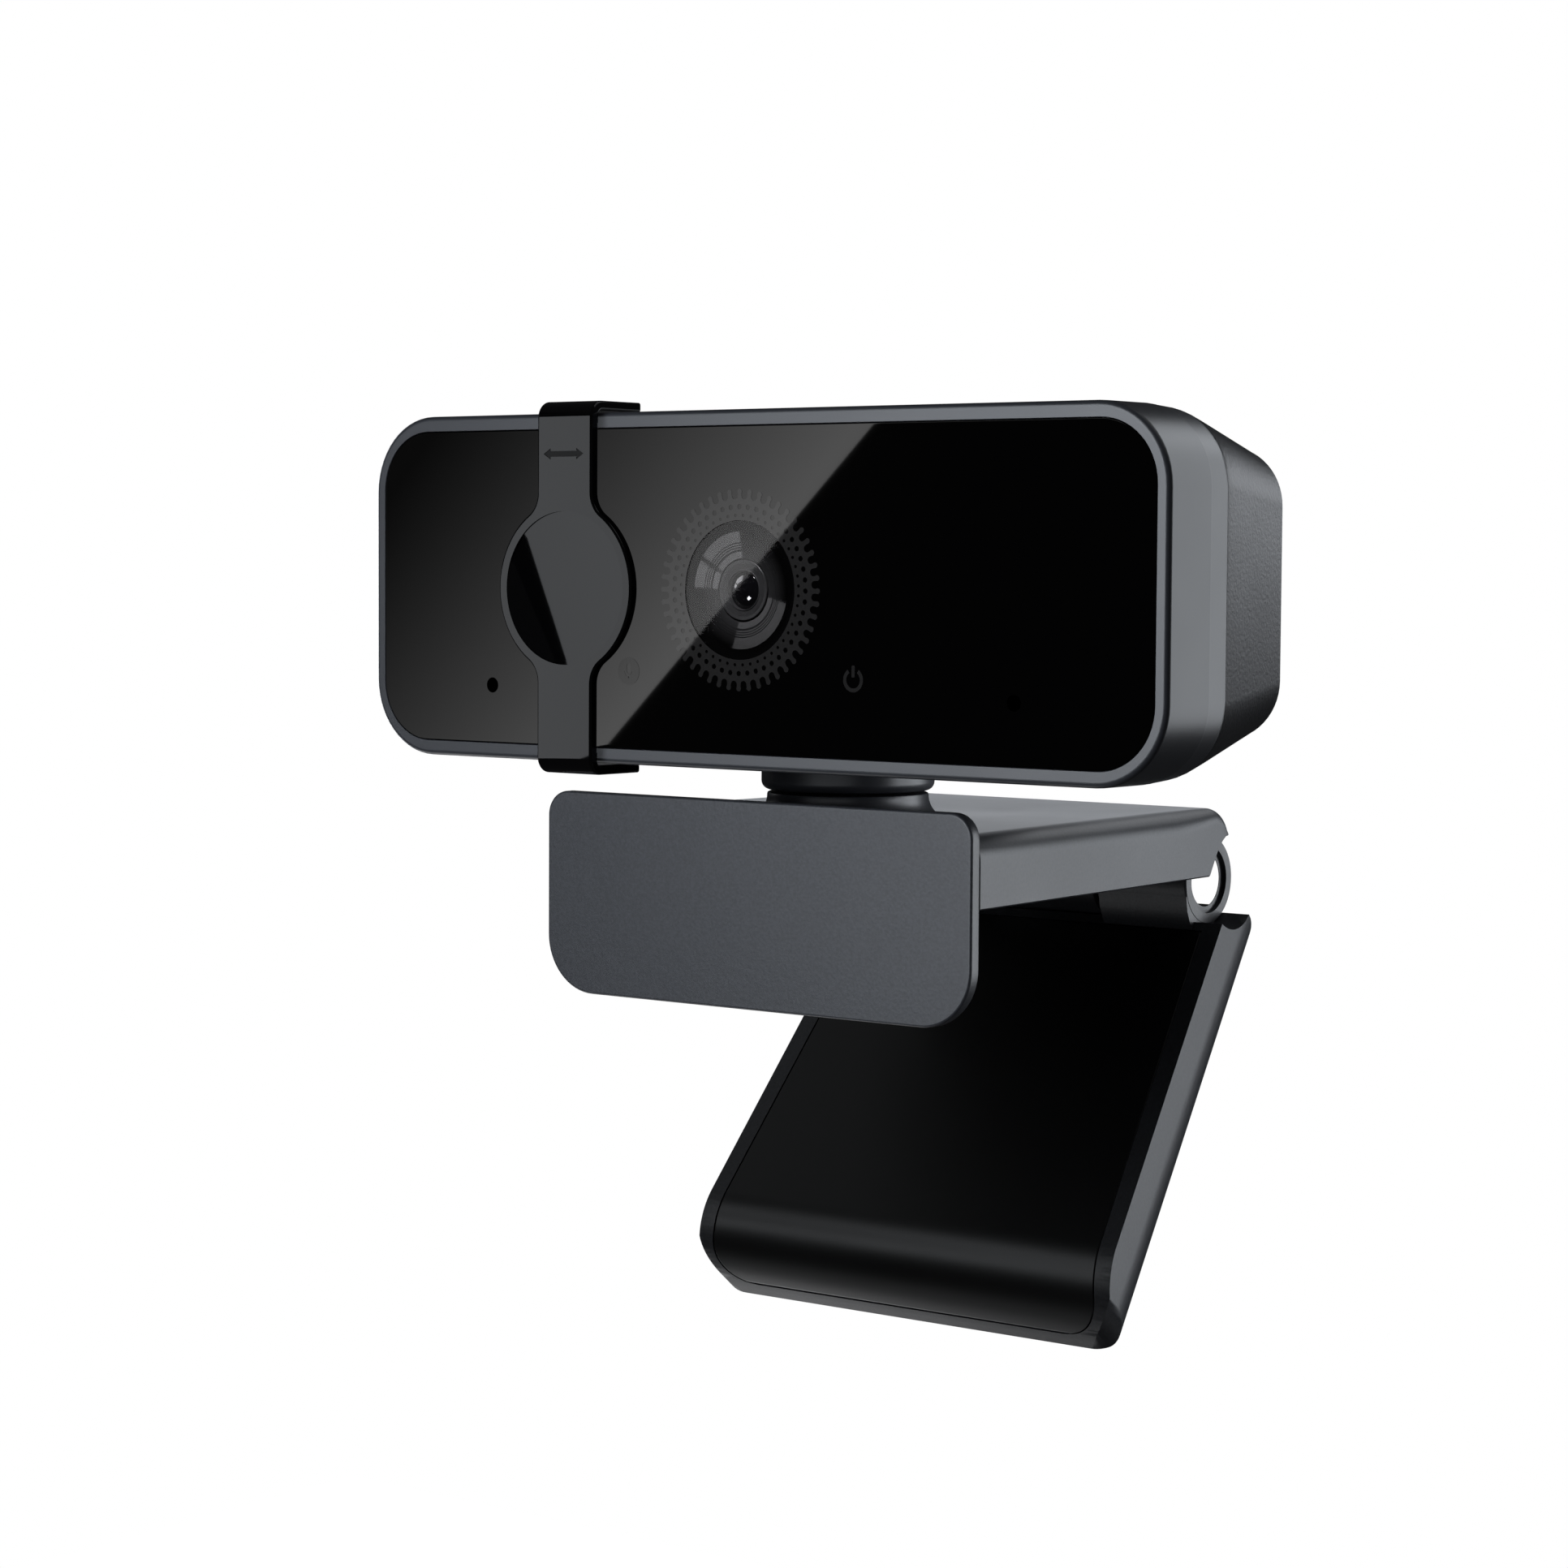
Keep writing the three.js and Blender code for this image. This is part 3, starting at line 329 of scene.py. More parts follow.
def clear_pane(name, share, roughness):
    """Thin flat glass: clear straight through, with a small share of mirror reflection at each face."""
    look = Look(name)
    film = look.grain(300, 3)
    through, mirror, pane = (look.add(kind) for kind in ("BsdfTransparent", "BsdfGlossy", "MixShader"))
    look.link(look.tinted(film, (0.93, 0.93, 0.94), (0.95, 0.95, 0.96)), through, "Color")
    look.link(look.ranged(film, roughness, roughness * 1.2), mirror, "Roughness")
    look.link(look.ranged(film, share, share * 1.05), pane, "Fac")
    look.link(through.outputs["BSDF"], pane, 1)
    look.link(mirror.outputs["BSDF"], pane, 2)
    look.show(pane, "Shader")
    return look.material


def black_with_painted_shade(name, inner, outer, levels, roughness, specular):
    """Black lens moulding with painted shade: its colour darkens from one radius round the lens to another, as
    shade deepens down the recess.
    """
    look = Look(name)
    offset = look.add("VectorMath", [(1, (1, 0, 1)), (2, (0, 0, -LENS_Z * MM))], operation="MULTIPLY_ADD")
    reach = look.add("VectorMath", operation="LENGTH")
    look.link(look.add("TexCoord").outputs["Object"], offset, 0)
    look.link(offset.outputs["Vector"], reach, 0)
    near, far = ((level, level, level * 1.03) for level in levels)
    share = look.ranged(reach.outputs["Value"], 0, 1, (inner * MM, outer * MM))
    look.shade("Base Color", look.tinted(share, near, far, (0.0, 1.0)))
    look.shade("Roughness", look.ranged(look.grain(400, 2), roughness * 0.97, roughness * 1.03))
    look.shading.inputs["Specular IOR Level"].default_value = specular
    return look.material


GREY = (0.027, 0.0285, 0.033)
# moulded: name, colour, roughness, texture, scale, depth
HOUSING = moulded("housing_plastic", GREY, 0.4, 0.5, 3200, 0.02, spread=0.2)
REAR_HOUSING = moulded("housing_rear", (0.02, 0.0212, 0.025), 0.42, 0.8, 2600, 0.035, spread=0.32)
SMOOTH_HOUSING = moulded("housing_smooth", GREY, 0.36, 0.12, 9000, 0.006, spread=0.05)
COVER_GLOSS = moulded("cover_gloss", (0.012, 0.0124, 0.014), 0.02, 0.004, 3000, 0.002, spread=0.1)
PANEL_GLOSS = moulded("panel_gloss", (0.001, 0.001, 0.0011), 0.014, 0.004, 900, 0.002, spread=0.1)
PRINT = moulded("panel_print", (0.018, 0.018, 0.0186), 0.014, 0.02, 5000, 0.002, spread=0.1)
FAINT_PRINT = moulded("panel_print_faint", (0.006, 0.006, 0.0062), 0.03, 0.02, 5000, 0.002, specular=0.42)
ARROW_INK = moulded("arrow_fill", (0.012, 0.012, 0.013), 0.4, 0.2, 8000, 0.004)
BLACK = moulded("black_plastic", (0.012, 0.012, 0.0125), 0.42, 0.3, 5000, 0.01)
RUBBER = moulded("rubber_pad", (0.004, 0.004, 0.0042), 0.32, 0.2, 5000, 0.008, specular=0.45)
SEAT_RUBBER = moulded("rubber_seat", (0.014, 0.014, 0.0145), 0.62, 0.6, 3500, 0.03, specular=0.3)
BOARD = moulded("circuit_board", (0.02, 0.09, 0.04), 0.4, 0.4, 1500, 0.02, spread=0.25)
CHIP = moulded("chip_epoxy", (0.02, 0.02, 0.021), 0.55, 0.5, 6000, 0.01)
DIFFUSER = moulded("diffuser", (0.05, 0.05, 0.052), 0.5, 0.2, 4000, 0.01)
ELEMENT = moulded("lens_glass", (0.002, 0.002, 0.003), 0.03, 0.005, 2000, 0.001, specular=0.8)
STEEL = metal("zinc_steel", (0.62, 0.62, 0.64), 0.28)
BRASS = metal("brass", (0.72, 0.52, 0.24), 0.3)
WINDOW = clear_pane("window_glass", 0.024, 0.014)
# Both lens mouldings carry painted shade, darker towards their outer radius.
BARREL = black_with_painted_shade("lens_barrel_black", 1.9, 3.1, (0.045, 0.033), 0.3, 0.3)
LENS_BLACK = black_with_painted_shade("lens_black", 3.0, 5.7, (0.03, 0.0006), 0.05, 0.35)

CAD_LOOKS = {
    "steel": STEEL, "brass": BRASS, "board": BOARD, "chip": CHIP, "diffuser": DIFFUSER,
    "rubber": SEAT_RUBBER, "black_plastic": BLACK, "housing": HOUSING, "cover": COVER_GLOSS,
    "panel": PANEL_GLOSS, "window": WINDOW,
}
for part in frame["record"]["subparts"]:
    node = frame["nodes"][part["node"]]
    for holder in node.material_slots:
        holder.material = CAD_LOOKS[part["material_slot"]]


# ---------- head

HEAD_HALF_WIDTH, HEAD_HALF_HEIGHT, HEAD_CORNER = 50, 18, 8
WALL, SEAM, EDGE = 1.8, 0.02, 0.55
BEZEL, BEZEL_TRIM, LEDGE_DEPTH = 1.36, 0.24, 1.1


def around_lens(half_width, half_height, radius, y, steps=14):
    """Rounded rectangle with the lens in its middle."""
    return in_xz(rounded_box(-half_width, half_width, LENS_Z - half_height, LENS_Z + half_height, radius,
                             steps=steps), y)


def head_loop(inset, y, radius=None, trim=0.0):
    """Outline of the head drawn in by an inset, with a trim taken off its upper and lower sides."""
    radius = HEAD_CORNER - inset if radius is None else radius
    return around_lens(HEAD_HALF_WIDTH - inset, HEAD_HALF_HEIGHT - inset - trim, radius, y)


def head_frame():
    """Narrow bezel round the panel, rounded front edge and straight band, on a ledge for the panel."""
    front, rear = GLASS_Y, BAND_REAR_Y
    loops = [head_loop(BEZEL, front + LEDGE_DEPTH, 6.25, BEZEL_TRIM),
             head_loop(BEZEL, front + 0.05, 6.25, BEZEL_TRIM),
             head_loop(BEZEL - 0.05, front, 6.3, BEZEL_TRIM), head_loop(EDGE + 0.05, front, 7.3)]
    loops += [head_loop(inset, y) for inset, y in arc(EDGE, front + EDGE, EDGE, 1.5 * math.pi, math.pi, 9)]
    outside = [(0.0, front + 7.2), (0.012, front + 7.35), (0.04, front + 7.6), (0.2, rear - 0.45),
               (0.23, rear - 0.1), (0.26, rear - SEAM)]
    inside = [(WALL, rear - SEAM), (WALL, front + 2.1), (3.2, front + 2.1), (3.2, front + LEDGE_DEPTH)]
    loops += [head_loop(inset, y, max(HEAD_CORNER - inset, 4.8)) for inset, y in outside + inside]
    return stack(loops, ring=True)


finish(make("head_frame_moulding", head_frame()), SMOOTH_HOUSING, "head", "housing", "head_frame")


def shell_loop(along, inset, y):
    """Outline of the tapered rear shell: along runs from 0 at the crease to 1 at the back."""
    half_width = HEAD_HALF_WIDTH - 4 * along - inset
    half_height = HEAD_HALF_HEIGHT - 3.9 * along - inset
    return around_lens(half_width, half_height, max(HEAD_CORNER - 2.3 * along - inset, 0.6), y)


def rear_shell():
    length = SHELL_REAR_Y - BAND_REAR_Y
    crease = BAND_REAR_Y + SEAM
    loops = [shell_loop(0.86, WALL, SHELL_REAR_Y - WALL), shell_loop(0, WALL, crease),
             shell_loop(0, 0.27, crease), shell_loop(0.03, 0.2, BAND_REAR_Y + 0.5)]
    for i in range(1, 8):
        along = 0.05 + 0.88 * i / 7
        loops.append(shell_loop(along, 0.18 * (1 - along), BAND_REAR_Y + along * length))
    radius = 1.1
    for inset, advance in rounded_edge(radius, 7):
        y = SHELL_REAR_Y - radius + advance
        loops.append(shell_loop((y - BAND_REAR_Y) / length, inset, y))
    return stack(loops)


SHELL_SCREWS = [("shell_screw_lower_left", -41, LENS_Z - 8.6), ("shell_screw_upper_left", -41, LENS_Z + 8.6),
                ("shell_screw_lower_right", 41, LENS_Z - 8.6), ("shell_screw_upper_right", 41, LENS_Z + 8.6)]
SCREW_WELL = [(2.3, SHELL_REAR_Y - 1.6), (2.3, SHELL_REAR_Y - 0.2), (2.6, SHELL_REAR_Y + 0.3)]
GLAND_CENTRE = (node_centre("cable_gland")[0], 0, LENS_Z)
# Radius, and distance behind the shell's back
GLAND = [(1.7, -4), (3.9, -3), (3.9, -1.9), (3.0, -1.9), (3.0, 0.1), (4.1, 0.1), (4.2, 0.25), (4.05, 0.6),
         (3.6, 0.75), (3.3, 0.62), (3.0, 0.8), (2.6, 1.0), (2.1, 1.0), (1.7, 0.7)]

shell = make("rear_shell_moulding", rear_shell())
wells = [lathe(SCREW_WELL, (x, 0, z), "y", 48, ring=False) for _, x, z in SHELL_SCREWS]
combine(shell, "DIFFERENCE", *wells, rod("y", GLAND_CENTRE, 3.1, 0, SHELL_REAR_Y + 1))
finish(shell, REAR_HOUSING, "head", "housing", "rear_shell")
gland = lathe([(radius, SHELL_REAR_Y + step) for radius, step in GLAND], GLAND_CENTRE, "y", 64)


def cross_head_screw(node, centre, axis, top, tip, head, shaft, body):
    """Pan-head screw with a cross recess; its head is at `top` and its shaft ends at `tip`."""
    way = 1 if tip > top else -1
    dome = 0.3 * head
    profile = [(0, top), (head * 0.5, top + way * 0.08 * dome), (head * 0.85, top + way * 0.45 * dome),
               (head, top + way * dome), (head, top + way * 0.72 * head), (shaft, top + way * 0.75 * head),
               (shaft, tip - way * 0.4), (shaft * 0.6, tip), (0, tip)]
    screw = make(node + "_detailed", lathe(profile, centre, axis, 48, ring=False))
    arm, web, depth = head * 0.62, head * 0.15, 0.55 * head
    low, high = sorted((top - way * 0.2, top + way * depth))
    across = centre[2] if axis == "y" else centre[1]
    for half_u, half_v in ((arm, web), (web, arm)):
        slot = [(centre[0] + u * half_u, across + v * half_v) for u, v in ((-1, -1), (1, -1), (1, 1), (-1, 1))]
        combine(screw, "DIFFERENCE", prism(slot, axis, low, high))
    finish(screw, STEEL, body, "steel", node)


for node, x, z in SHELL_SCREWS:
    cross_head_screw(node, (x, 0, z), "y", SHELL_REAR_Y - 0.7, -19, 2, 1, "head")
finish(make("cable_gland_ribbed", gland), SEAT_RUBBER, "head", "rubber", "cable_gland")

PANEL_HALF_WIDTH, PANEL_HALF_HEIGHT, PANEL_CORNER = 48.6, 16.35, 6.2
LENS_HOLE, WINDOW_RADIUS = 6.94, 6.925
MICROPHONE_X, MICROPHONE_DROP, MICROPHONE_RADIUS = 33.07, 10.3, 0.8


def panel_loop(inset, depth):
    return around_lens(PANEL_HALF_WIDTH - inset, PANEL_HALF_HEIGHT - inset, PANEL_CORNER - inset,
                       GLASS_Y + depth, 20)


def panel_hole(x, z, radius, steps=48):
    return rod("y", (x, 0, z), radius, GLASS_Y - 1, GLASS_Y + 2, steps)


PANEL_STEPS = [(0.3, 1.1), (0, 1.0), (0, 0.1), (0.03, 0.03), (0.1, 0)]
panel = make("front_panel_gloss", stack([panel_loop(*step) for step in PANEL_STEPS]))
combine(panel, "DIFFERENCE", panel_hole(0, LENS_Z, LENS_HOLE, 128),
        *[panel_hole(side * MICROPHONE_X, LENS_Z - MICROPHONE_DROP, MICROPHONE_RADIUS) for side in (-1, 1)])
finish(panel, PANEL_GLOSS, "head", "panel", "front_panel")


# ---------- lens

CONE = 10                                # slope of the funnel, in degrees
WINDOW_BACK_Y = GLASS_Y + 0.12
RIM_Y = GLASS_Y + 0.16
BORE_RADIUS = 1.95

window = lathe([(0, GLASS_Y), (6.91, GLASS_Y), (WINDOW_RADIUS, GLASS_Y + 0.02), (WINDOW_RADIUS, WINDOW_BACK_Y),
                (0, WINDOW_BACK_Y)], LENS_CENTRE, "y", 128, ring=False)


def grooved(count, depth, inner, outer, face):
    """Profile of fine turned grooves in a face, from the outer radius to the inner."""
    step = (outer - inner) / count
    points = []
    for i in range(count):
        radius = outer - i * step
        points += [(radius, face(radius)), (radius - 0.55 * step, face(radius - 0.55 * step)),
                   (radius - 0.6 * step, face(radius) + depth), (radius - 0.95 * step, face(radius) + depth)]
    return points


def lens_funnel():
    """Flat rim behind the window, then a smooth cone with fine turned grooves down to the barrel."""
    def face(radius):
        return RIM_Y + (5.9 - radius) * math.tan(math.radians(CONE))
    back = RIM_Y + 1.6
    points = [(6.93, back), (6.93, RIM_Y), (5.95, RIM_Y)]
    points += [(radius, face(radius)) for radius in (5.88, 5.5, 4.95)]
    points += grooved(4, 0.06, 3.95, 4.9, face)
    points += [(radius, face(radius)) for radius in (3.85, 3.5, 3.2)]
    return lathe(points + [(3.1, back)], LENS_CENTRE, "y", 160)


def lens_barrel():
    """Ring-grooved nose of the barrel, with the bore that holds the front element."""
    nose, back = RIM_Y + 0.42, GLASS_Y + 12

    def face(radius):
        return nose + 0.12 * (3.0 - radius)
    points = [(0, back), (3.03, back), (3.03, nose + 0.06), (2.97, nose), (2.74, face(2.74))]
    points += grooved(5, 0.05, 2.1, 2.7, face)
    points += [(2.03, nose + 0.04), (1.98, nose + 0.04), (BORE_RADIUS, nose + 0.16), (BORE_RADIUS, nose + 1.2),
               (0, nose + 1.2)]
    return lathe(points, LENS_CENTRE, "y", 128, ring=False)


def lens_element(radius=1.93, curve=3.2, steps=14):
    """Front element: a dome of one radius of curvature, with a flat back."""
    crown, back = RIM_Y + 0.3, RIM_Y + 1.4
    points = [(0, crown)]
    for i in range(1, steps + 1):
        r = radius * i / steps
        points.append((r, crown + curve - math.sqrt(curve * curve - r * r)))
    return lathe(points + [(radius, back), (0, back)], LENS_CENTRE, "y", 96, ring=False)


for name, shape, look, slot, node, sharp in (
        ("lens_window_glass", window, WINDOW, "window", "lens_window", 20),
        ("lens_funnel_stepped", lens_funnel(), LENS_BLACK, "black_plastic", "lens_funnel", 5),
        ("lens_barrel_grooved", lens_barrel(), BARREL, "black_plastic", "lens_barrel", 5),
        ("lens_element_dome", lens_element(), ELEMENT, "window", "lens_element", 20)):
    finish(make(name, shape), look, "head", slot, node, sharp)


# ---------- prints on the front panel

PRINT_Y, PRINT_THICKNESS = GLASS_Y - 0.012, 0.02
SYMBOL_DROP = 8.6
POWER_X, MIC_SYMBOL_X = 14.2, -14.34


def print_on_panel(name, outlines, ink):
    """Thin print from closed outlines in (x, z); those inside another are holes."""
    curve = bpy.data.curves.new(name, "CURVE")
    curve.dimensions = "2D"
    curve.fill_mode = "BOTH"
    curve.extrude = PRINT_THICKNESS / 2 * MM
    for outline in outlines:
        spline = curve.splines.new("POLY")
        spline.points.add(len(outline) - 1)
        for point, (x, z) in zip(spline.points, outline):
            point.co = (x * MM, z * MM, 0, 1)
        spline.use_cyclic_u = True
    flat = place_in_scene(name + "_curve", curve)
    mesh = evaluated_mesh(flat)
    bpy.data.objects.remove(flat)
    mesh.transform(Matrix.Translation((0, PRINT_Y * MM, 0)) @ Matrix.Rotation(QUARTER, 4, "X"))
    finish(place_in_scene(name, mesh), ink, "head", "diffuser")


def toothed_ring():
    """Ring of round-tipped teeth, with two rows of round dots left open in it."""
    teeth = 48
    pitch = 2 * math.pi / teeth
    tip, bulb, notch, bite = 9.8, 0.29, 9.42, 0.38
    outline = []
    for i in range(teeth):
        middle = i * pitch
        for k in range(9):
            angle = math.radians(-120 + 30 * k)
            radius = tip + bulb * math.cos(angle)
            outline.append((radius, middle + bulb * math.sin(angle) / radius))
        for k in range(9):
            angle = QUARTER + math.pi * k / 8
            radius = notch + bite * math.cos(angle)
            outline.append((radius, middle + pitch / 2 - bite * math.sin(angle) / notch))
    rings = [[(r * math.cos(a), LENS_Z + r * math.sin(a)) for r, a in outline],
             circle(0, LENS_Z, LENS_HOLE, 128)]
    for row, size, shift in ((8.3, 0.27, 0.0), (7.45, 0.17, 0.5)):
        for i in range(teeth):
            angle = (i + shift) * pitch
            rings.append(circle(row * math.cos(angle), LENS_Z + row * math.sin(angle), size, 12))
    return rings


def power_symbol():
    """Open circle with a stroke through its gap."""
    x, z, gap = POWER_X, LENS_Z - SYMBOL_DROP, math.radians(34)
    return [ring_sector(x, z, 0.82, 1.2, QUARTER + gap, QUARTER + 2 * math.pi - gap, 48),
            rounded_box(x - 0.19, x + 0.19, LENS_Z - 8.35, LENS_Z - 7.2, 0.1, steps=6)]


def microphone_symbol():
    """Disc with a capsule, its cradle and its stem left open."""
    x, z = MIC_SYMBOL_X, LENS_Z - 8.4
    return [circle(x, z, 1.41, 48), rounded_box(x - 0.27, x + 0.27, z - 0.2, z + 0.8, 0.26, steps=6),
            ring_sector(x, z - 0.02, 0.42, 0.54, math.pi, 2 * math.pi, 24),
            rounded_box(x - 0.06, x + 0.06, z - 0.85, z - 0.52, 0.02, steps=3)]


print_on_panel("ring_print", toothed_ring(), PRINT)
print_on_panel("power_symbol", power_symbol(), PRINT)
print_on_panel("microphone_symbol", microphone_symbol(), FAINT_PRINT)


# ---------- privacy cover

STRIP, DISC, FILLET, PLATE_HALF = 3.7, 9.0, 2.8, 16.9
COVER_FRONT = GLASS_Y - 1.55
COVER_THICK, COVER_EDGE = 1.2, 0.28
DISH_RADIUS, DISH_RIM, DISH_DEPTH = 7.9, 0.012, 0.27


def cover_outline(inset):
    """Outline of the cover's flat front: disc, concave necks and strips, drawn in by an inset."""
    strip, disc, fillet = STRIP - inset, DISC - inset, FILLET + inset
    across = STRIP + FILLET
    up = math.sqrt((DISC + FILLET) ** 2 - across ** 2)
    meet = math.atan2(up, across)
    corner = arc(0, 0, disc, 0, meet, 24) + arc(across, up, fillet, meet + math.pi, math.pi, 12)[1:]
    corner.append((strip, PLATE_HALF))
    points = corner + [(-x, z) for x, z in corner[::-1]]
    points += [(-x, -z) for x, z in corner[1:]] + [(x, -z) for x, z in corner[:0:-1]]
    kept = []
    for point in points:
        if not kept or math.dist(point, kept[-1]) > 0.001:
            kept.append(point)
    return [(COVER_X + x, LENS_Z + z) for x, z in kept]


def cover_plate():
    rear = COVER_FRONT + COVER_THICK
    loops = [in_xz(cover_outline(COVER_EDGE), rear), in_xz(cover_outline(0), rear - COVER_EDGE)]
    for inset, advance in rounded_edge(COVER_EDGE, 6):
        loops.append(in_xz(cover_outline(inset), rear - COVER_THICK + COVER_EDGE - advance))
    return stack(loops)


def cover_strap(sign):
    """Strap from the end of the flat front, round its bend and back over the head."""
    outer_half, bend, rear = 19.2, 1.7, GLASS_Y + 6.4
    path = [((COVER_FRONT, z), (1, 0)) for z in (PLATE_HALF, outer_half - bend)]
    for i in range(1, 13):
        angle = math.pi - QUARTER * i / 12
        path.append(((COVER_FRONT + bend + bend * math.cos(angle), outer_half - bend + bend * math.sin(angle)),
                     (-math.cos(angle), -math.sin(angle))))
    path += [((y, outer_half), (0, -1)) for y in (GLASS_Y + 1.5, rear - 1, rear - 0.2, rear)]
    loops = []
    for index, ((y, z), (dy, dz)) in enumerate(path):
        shrink = 0.2 if index == len(path) - 1 else 0
        thick = COVER_THICK - 0.2 * abs(dz)
        section = rounded_box(-STRIP + shrink, STRIP - shrink, shrink, thick - shrink, COVER_EDGE, steps=6)
        loops.append([(COVER_X + u, y + dy * v, LENS_Z + sign * (z + dz * v)) for u, v in section])
    return stack(loops)


def dish():
    """Shallow trough across the disc, deepest along a line that leans to one side."""
    lean = math.radians(15)
    rings = [circle(0, 0, DISH_RADIUS * i / 14, 96) for i in range(14, 0, -1)]
    loops = [[(COVER_X + x, COVER_FRONT - 1, LENS_Z + z) for x, z in rings[0]]]
    for ring in rings:
        loop = []
        for x, z in ring:
            across = x * math.cos(lean) + z * math.sin(lean)
            fall = 1 - (across ** 2 + 0.04 * z * z) / DISH_RADIUS ** 2
            loop.append((COVER_X + x, COVER_FRONT + DISH_RIM + DISH_DEPTH * fall, LENS_Z + z))
        loops.append(loop)
    return stack(loops)


def double_arrow(grow, front, rear):
    """Two-headed arrow across the upper strip, between two depths behind the cover's front."""
    length, head, tall, shaft = 2.7, 0.95, 0.58, 0.33
    half = [(length + grow * 1.6, 0), (length - head - grow, tall + grow), (length - head - grow, shaft + grow)]
    upper = half + [(-x, z) for x, z in half[::-1]]
    lower = [(x, -z) for x, z in upper[::-1] if z > 0]
    outline = [(COVER_X - 0.1 + x, LENS_Z + 13.78 + z) for x, z in upper + lower]
    return prism(outline, "y", COVER_FRONT + front, COVER_FRONT + rear)


cover = make("privacy_cover_gloss", cover_plate())
combine(cover, "DIFFERENCE", dish(), double_arrow(0.0, -0.5, 0.14))
finish(cover, COVER_GLOSS, "cover", "cover", "privacy_cover")
for sign, place in ((1, "top"), (-1, "bottom")):
    strap = make("privacy_cover_strap_" + place, cover_strap(sign))
    finish(strap, COVER_GLOSS, "cover", "cover", "privacy_cover")
finish(make("cover_arrow", double_arrow(-0.04, 0.06, 0.15)), ARROW_INK, "cover", "cover")


# ---------- swivel neck

PIVOT_HOLE = 2.3
COLLAR_RADIUS, COLLAR_EDGE, COLLAR_BOTTOM, COLLAR_TOP = 9.0, 0.9, LENS_Z - 20.7, 16.6
BASE_TOP, BASE_SHOULDER, BASE_FOOT = COLLAR_BOTTOM - 0.25, COLLAR_BOTTOM - 0.5, 7.68


def neck_collar():
    flat = COLLAR_RADIUS - COLLAR_EDGE
    return ([(PIVOT_HOLE, COLLAR_BOTTOM), (flat, COLLAR_BOTTOM)]
            + arc(flat, COLLAR_BOTTOM + COLLAR_EDGE, COLLAR_EDGE, -QUARTER, 0, 6)[1:]
            + [(COLLAR_RADIUS, 14.0), (COLLAR_RADIUS, COLLAR_TOP), (PIVOT_HOLE, COLLAR_TOP)])


def swivel_base():
    """Low cone that flares out to the arm, with a spigot below."""
    points = [(PIVOT_HOLE, BASE_TOP), (8.2, BASE_TOP), (8.34, COLLAR_BOTTOM - 0.32), (8.4, BASE_SHOULDER)]
    for i in range(1, 11):
        fall = i / 10
        points.append((8.4 + 1.05 * fall ** 2.2, BASE_SHOULDER - (BASE_SHOULDER - BASE_FOOT) * fall))
    return points + [(4.8, BASE_FOOT), (4.8, 6.2), (PIVOT_HOLE, 6.2)]


for name, profile, body, node in (("neck_collar_turned", neck_collar(), "head", "neck_collar"),
                                  ("swivel_base_flared", swivel_base(), "clip", "swivel_base")):
    finish(make(name, lathe(profile, NECK_AXIS, "z")), SMOOTH_HOUSING, body, "housing", node)


# ---------- clip arm

ARM_FRONT, ARM_LIP, ARM_TOP, ARM_BOTTOM = -20.5, 31.15, 7.65, 0.4
ARM_HALF, ARM_TAPER = 27.04, 0.06
ARM_EDGE, ARM_LIP_EDGE, ARM_CURL = 2.5, 1.2, 2.85
SCOOP = 5.52
KNUCKLE_RADIUS = 4.89


def arm_body():
    """Sections along the arm: rounded upper edges, a curled rear lip and a scoop round the hinge."""
    curl_start = ARM_LIP - ARM_CURL
    stations = [ARM_FRONT, ARM_FRONT + 0.5, -10, 0, 10, 20, 25, 27.0]
    stations += [curl_start + ARM_CURL * math.sin(QUARTER * i / 14) for i in range(15)]
    loops = []
    for y in [round(station, 4) for station in stations]:
        top = ARM_TOP - ARM_CURL + math.sqrt(max(ARM_CURL ** 2 - max(y - curl_start, 0) ** 2, 0))
        scooped = SCOOP ** 2 - (y - HINGE_Y) ** 2
        bottom = ARM_BOTTOM
        if scooped > 0 and y > 27.4:
            bottom = max(ARM_BOTTOM, HINGE_Z + math.sqrt(scooped))
        bottom = min(bottom, top - 0.03)
        edge = ARM_EDGE - (ARM_EDGE - ARM_LIP_EDGE) * min(max((y - 22) / 9, 0), 1)
        edge = min(edge, max(top - bottom - 0.02, 0.02))
        half = ARM_HALF - ARM_TAPER * (y - ARM_FRONT)
        flat = max(top - edge, bottom + 0.005)
        section = [(half - 0.15, bottom), (half, min(bottom + 0.15, flat))]
        section += arc(half - edge, flat, edge, 0, QUARTER, 10)
        section = [(x, min(z, top)) for x, z in section]
        section += [(-x, z) for x, z in section[::-1]]
        loops.append(in_xz(section, y))
    return stack(loops)


def tapered_plate(front_half, front, rear_half, rear):
    """Plan of the arm's pocket or its cover: a trapezium, narrower at the rear."""
    return [(-front_half, front), (front_half, front), (rear_half, rear), (-rear_half, rear)]


arm = make("arm_moulding", arm_body())
pocket = tapered_plate(24.5, -18.6, 22.2, 24.7)
combine(arm, "DIFFERENCE", prism(pocket, "z", -1, ARM_BOTTOM + 2.0))
finish(arm, HOUSING, "clip", "housing", "arm_shell")

barrel = [(KNUCKLE_RADIUS - 0.25, -8.6), (KNUCKLE_RADIUS, -8.35), (KNUCKLE_RADIUS, 8.35),
          (KNUCKLE_RADIUS - 0.25, 8.6)]
knuckle = make("arm_knuckle", lathe(barrel, HINGE_CENTRE, "x", 96, ring=False))
tongue = [(25.6, ARM_BOTTOM), (29, -1.6), (32, -1.6), (32, 4.0), (28, 5.0), (25.6, 5.0)]
combine(knuckle, "UNION", prism(tongue, "x", -8.55, 8.55))
finish(knuckle, HOUSING, "clip", "housing")

PLATE_BOTTOM, PLATE_TOP, PLATE_UPPER_CORNER, PLATE_LOWER_CORNER = -11.3, 9.8, 2.6, 6
PLATE_REAR_Y, PLATE_EDGE_Y, PLATE_EDGE = -20.55, -21.72, 0.28


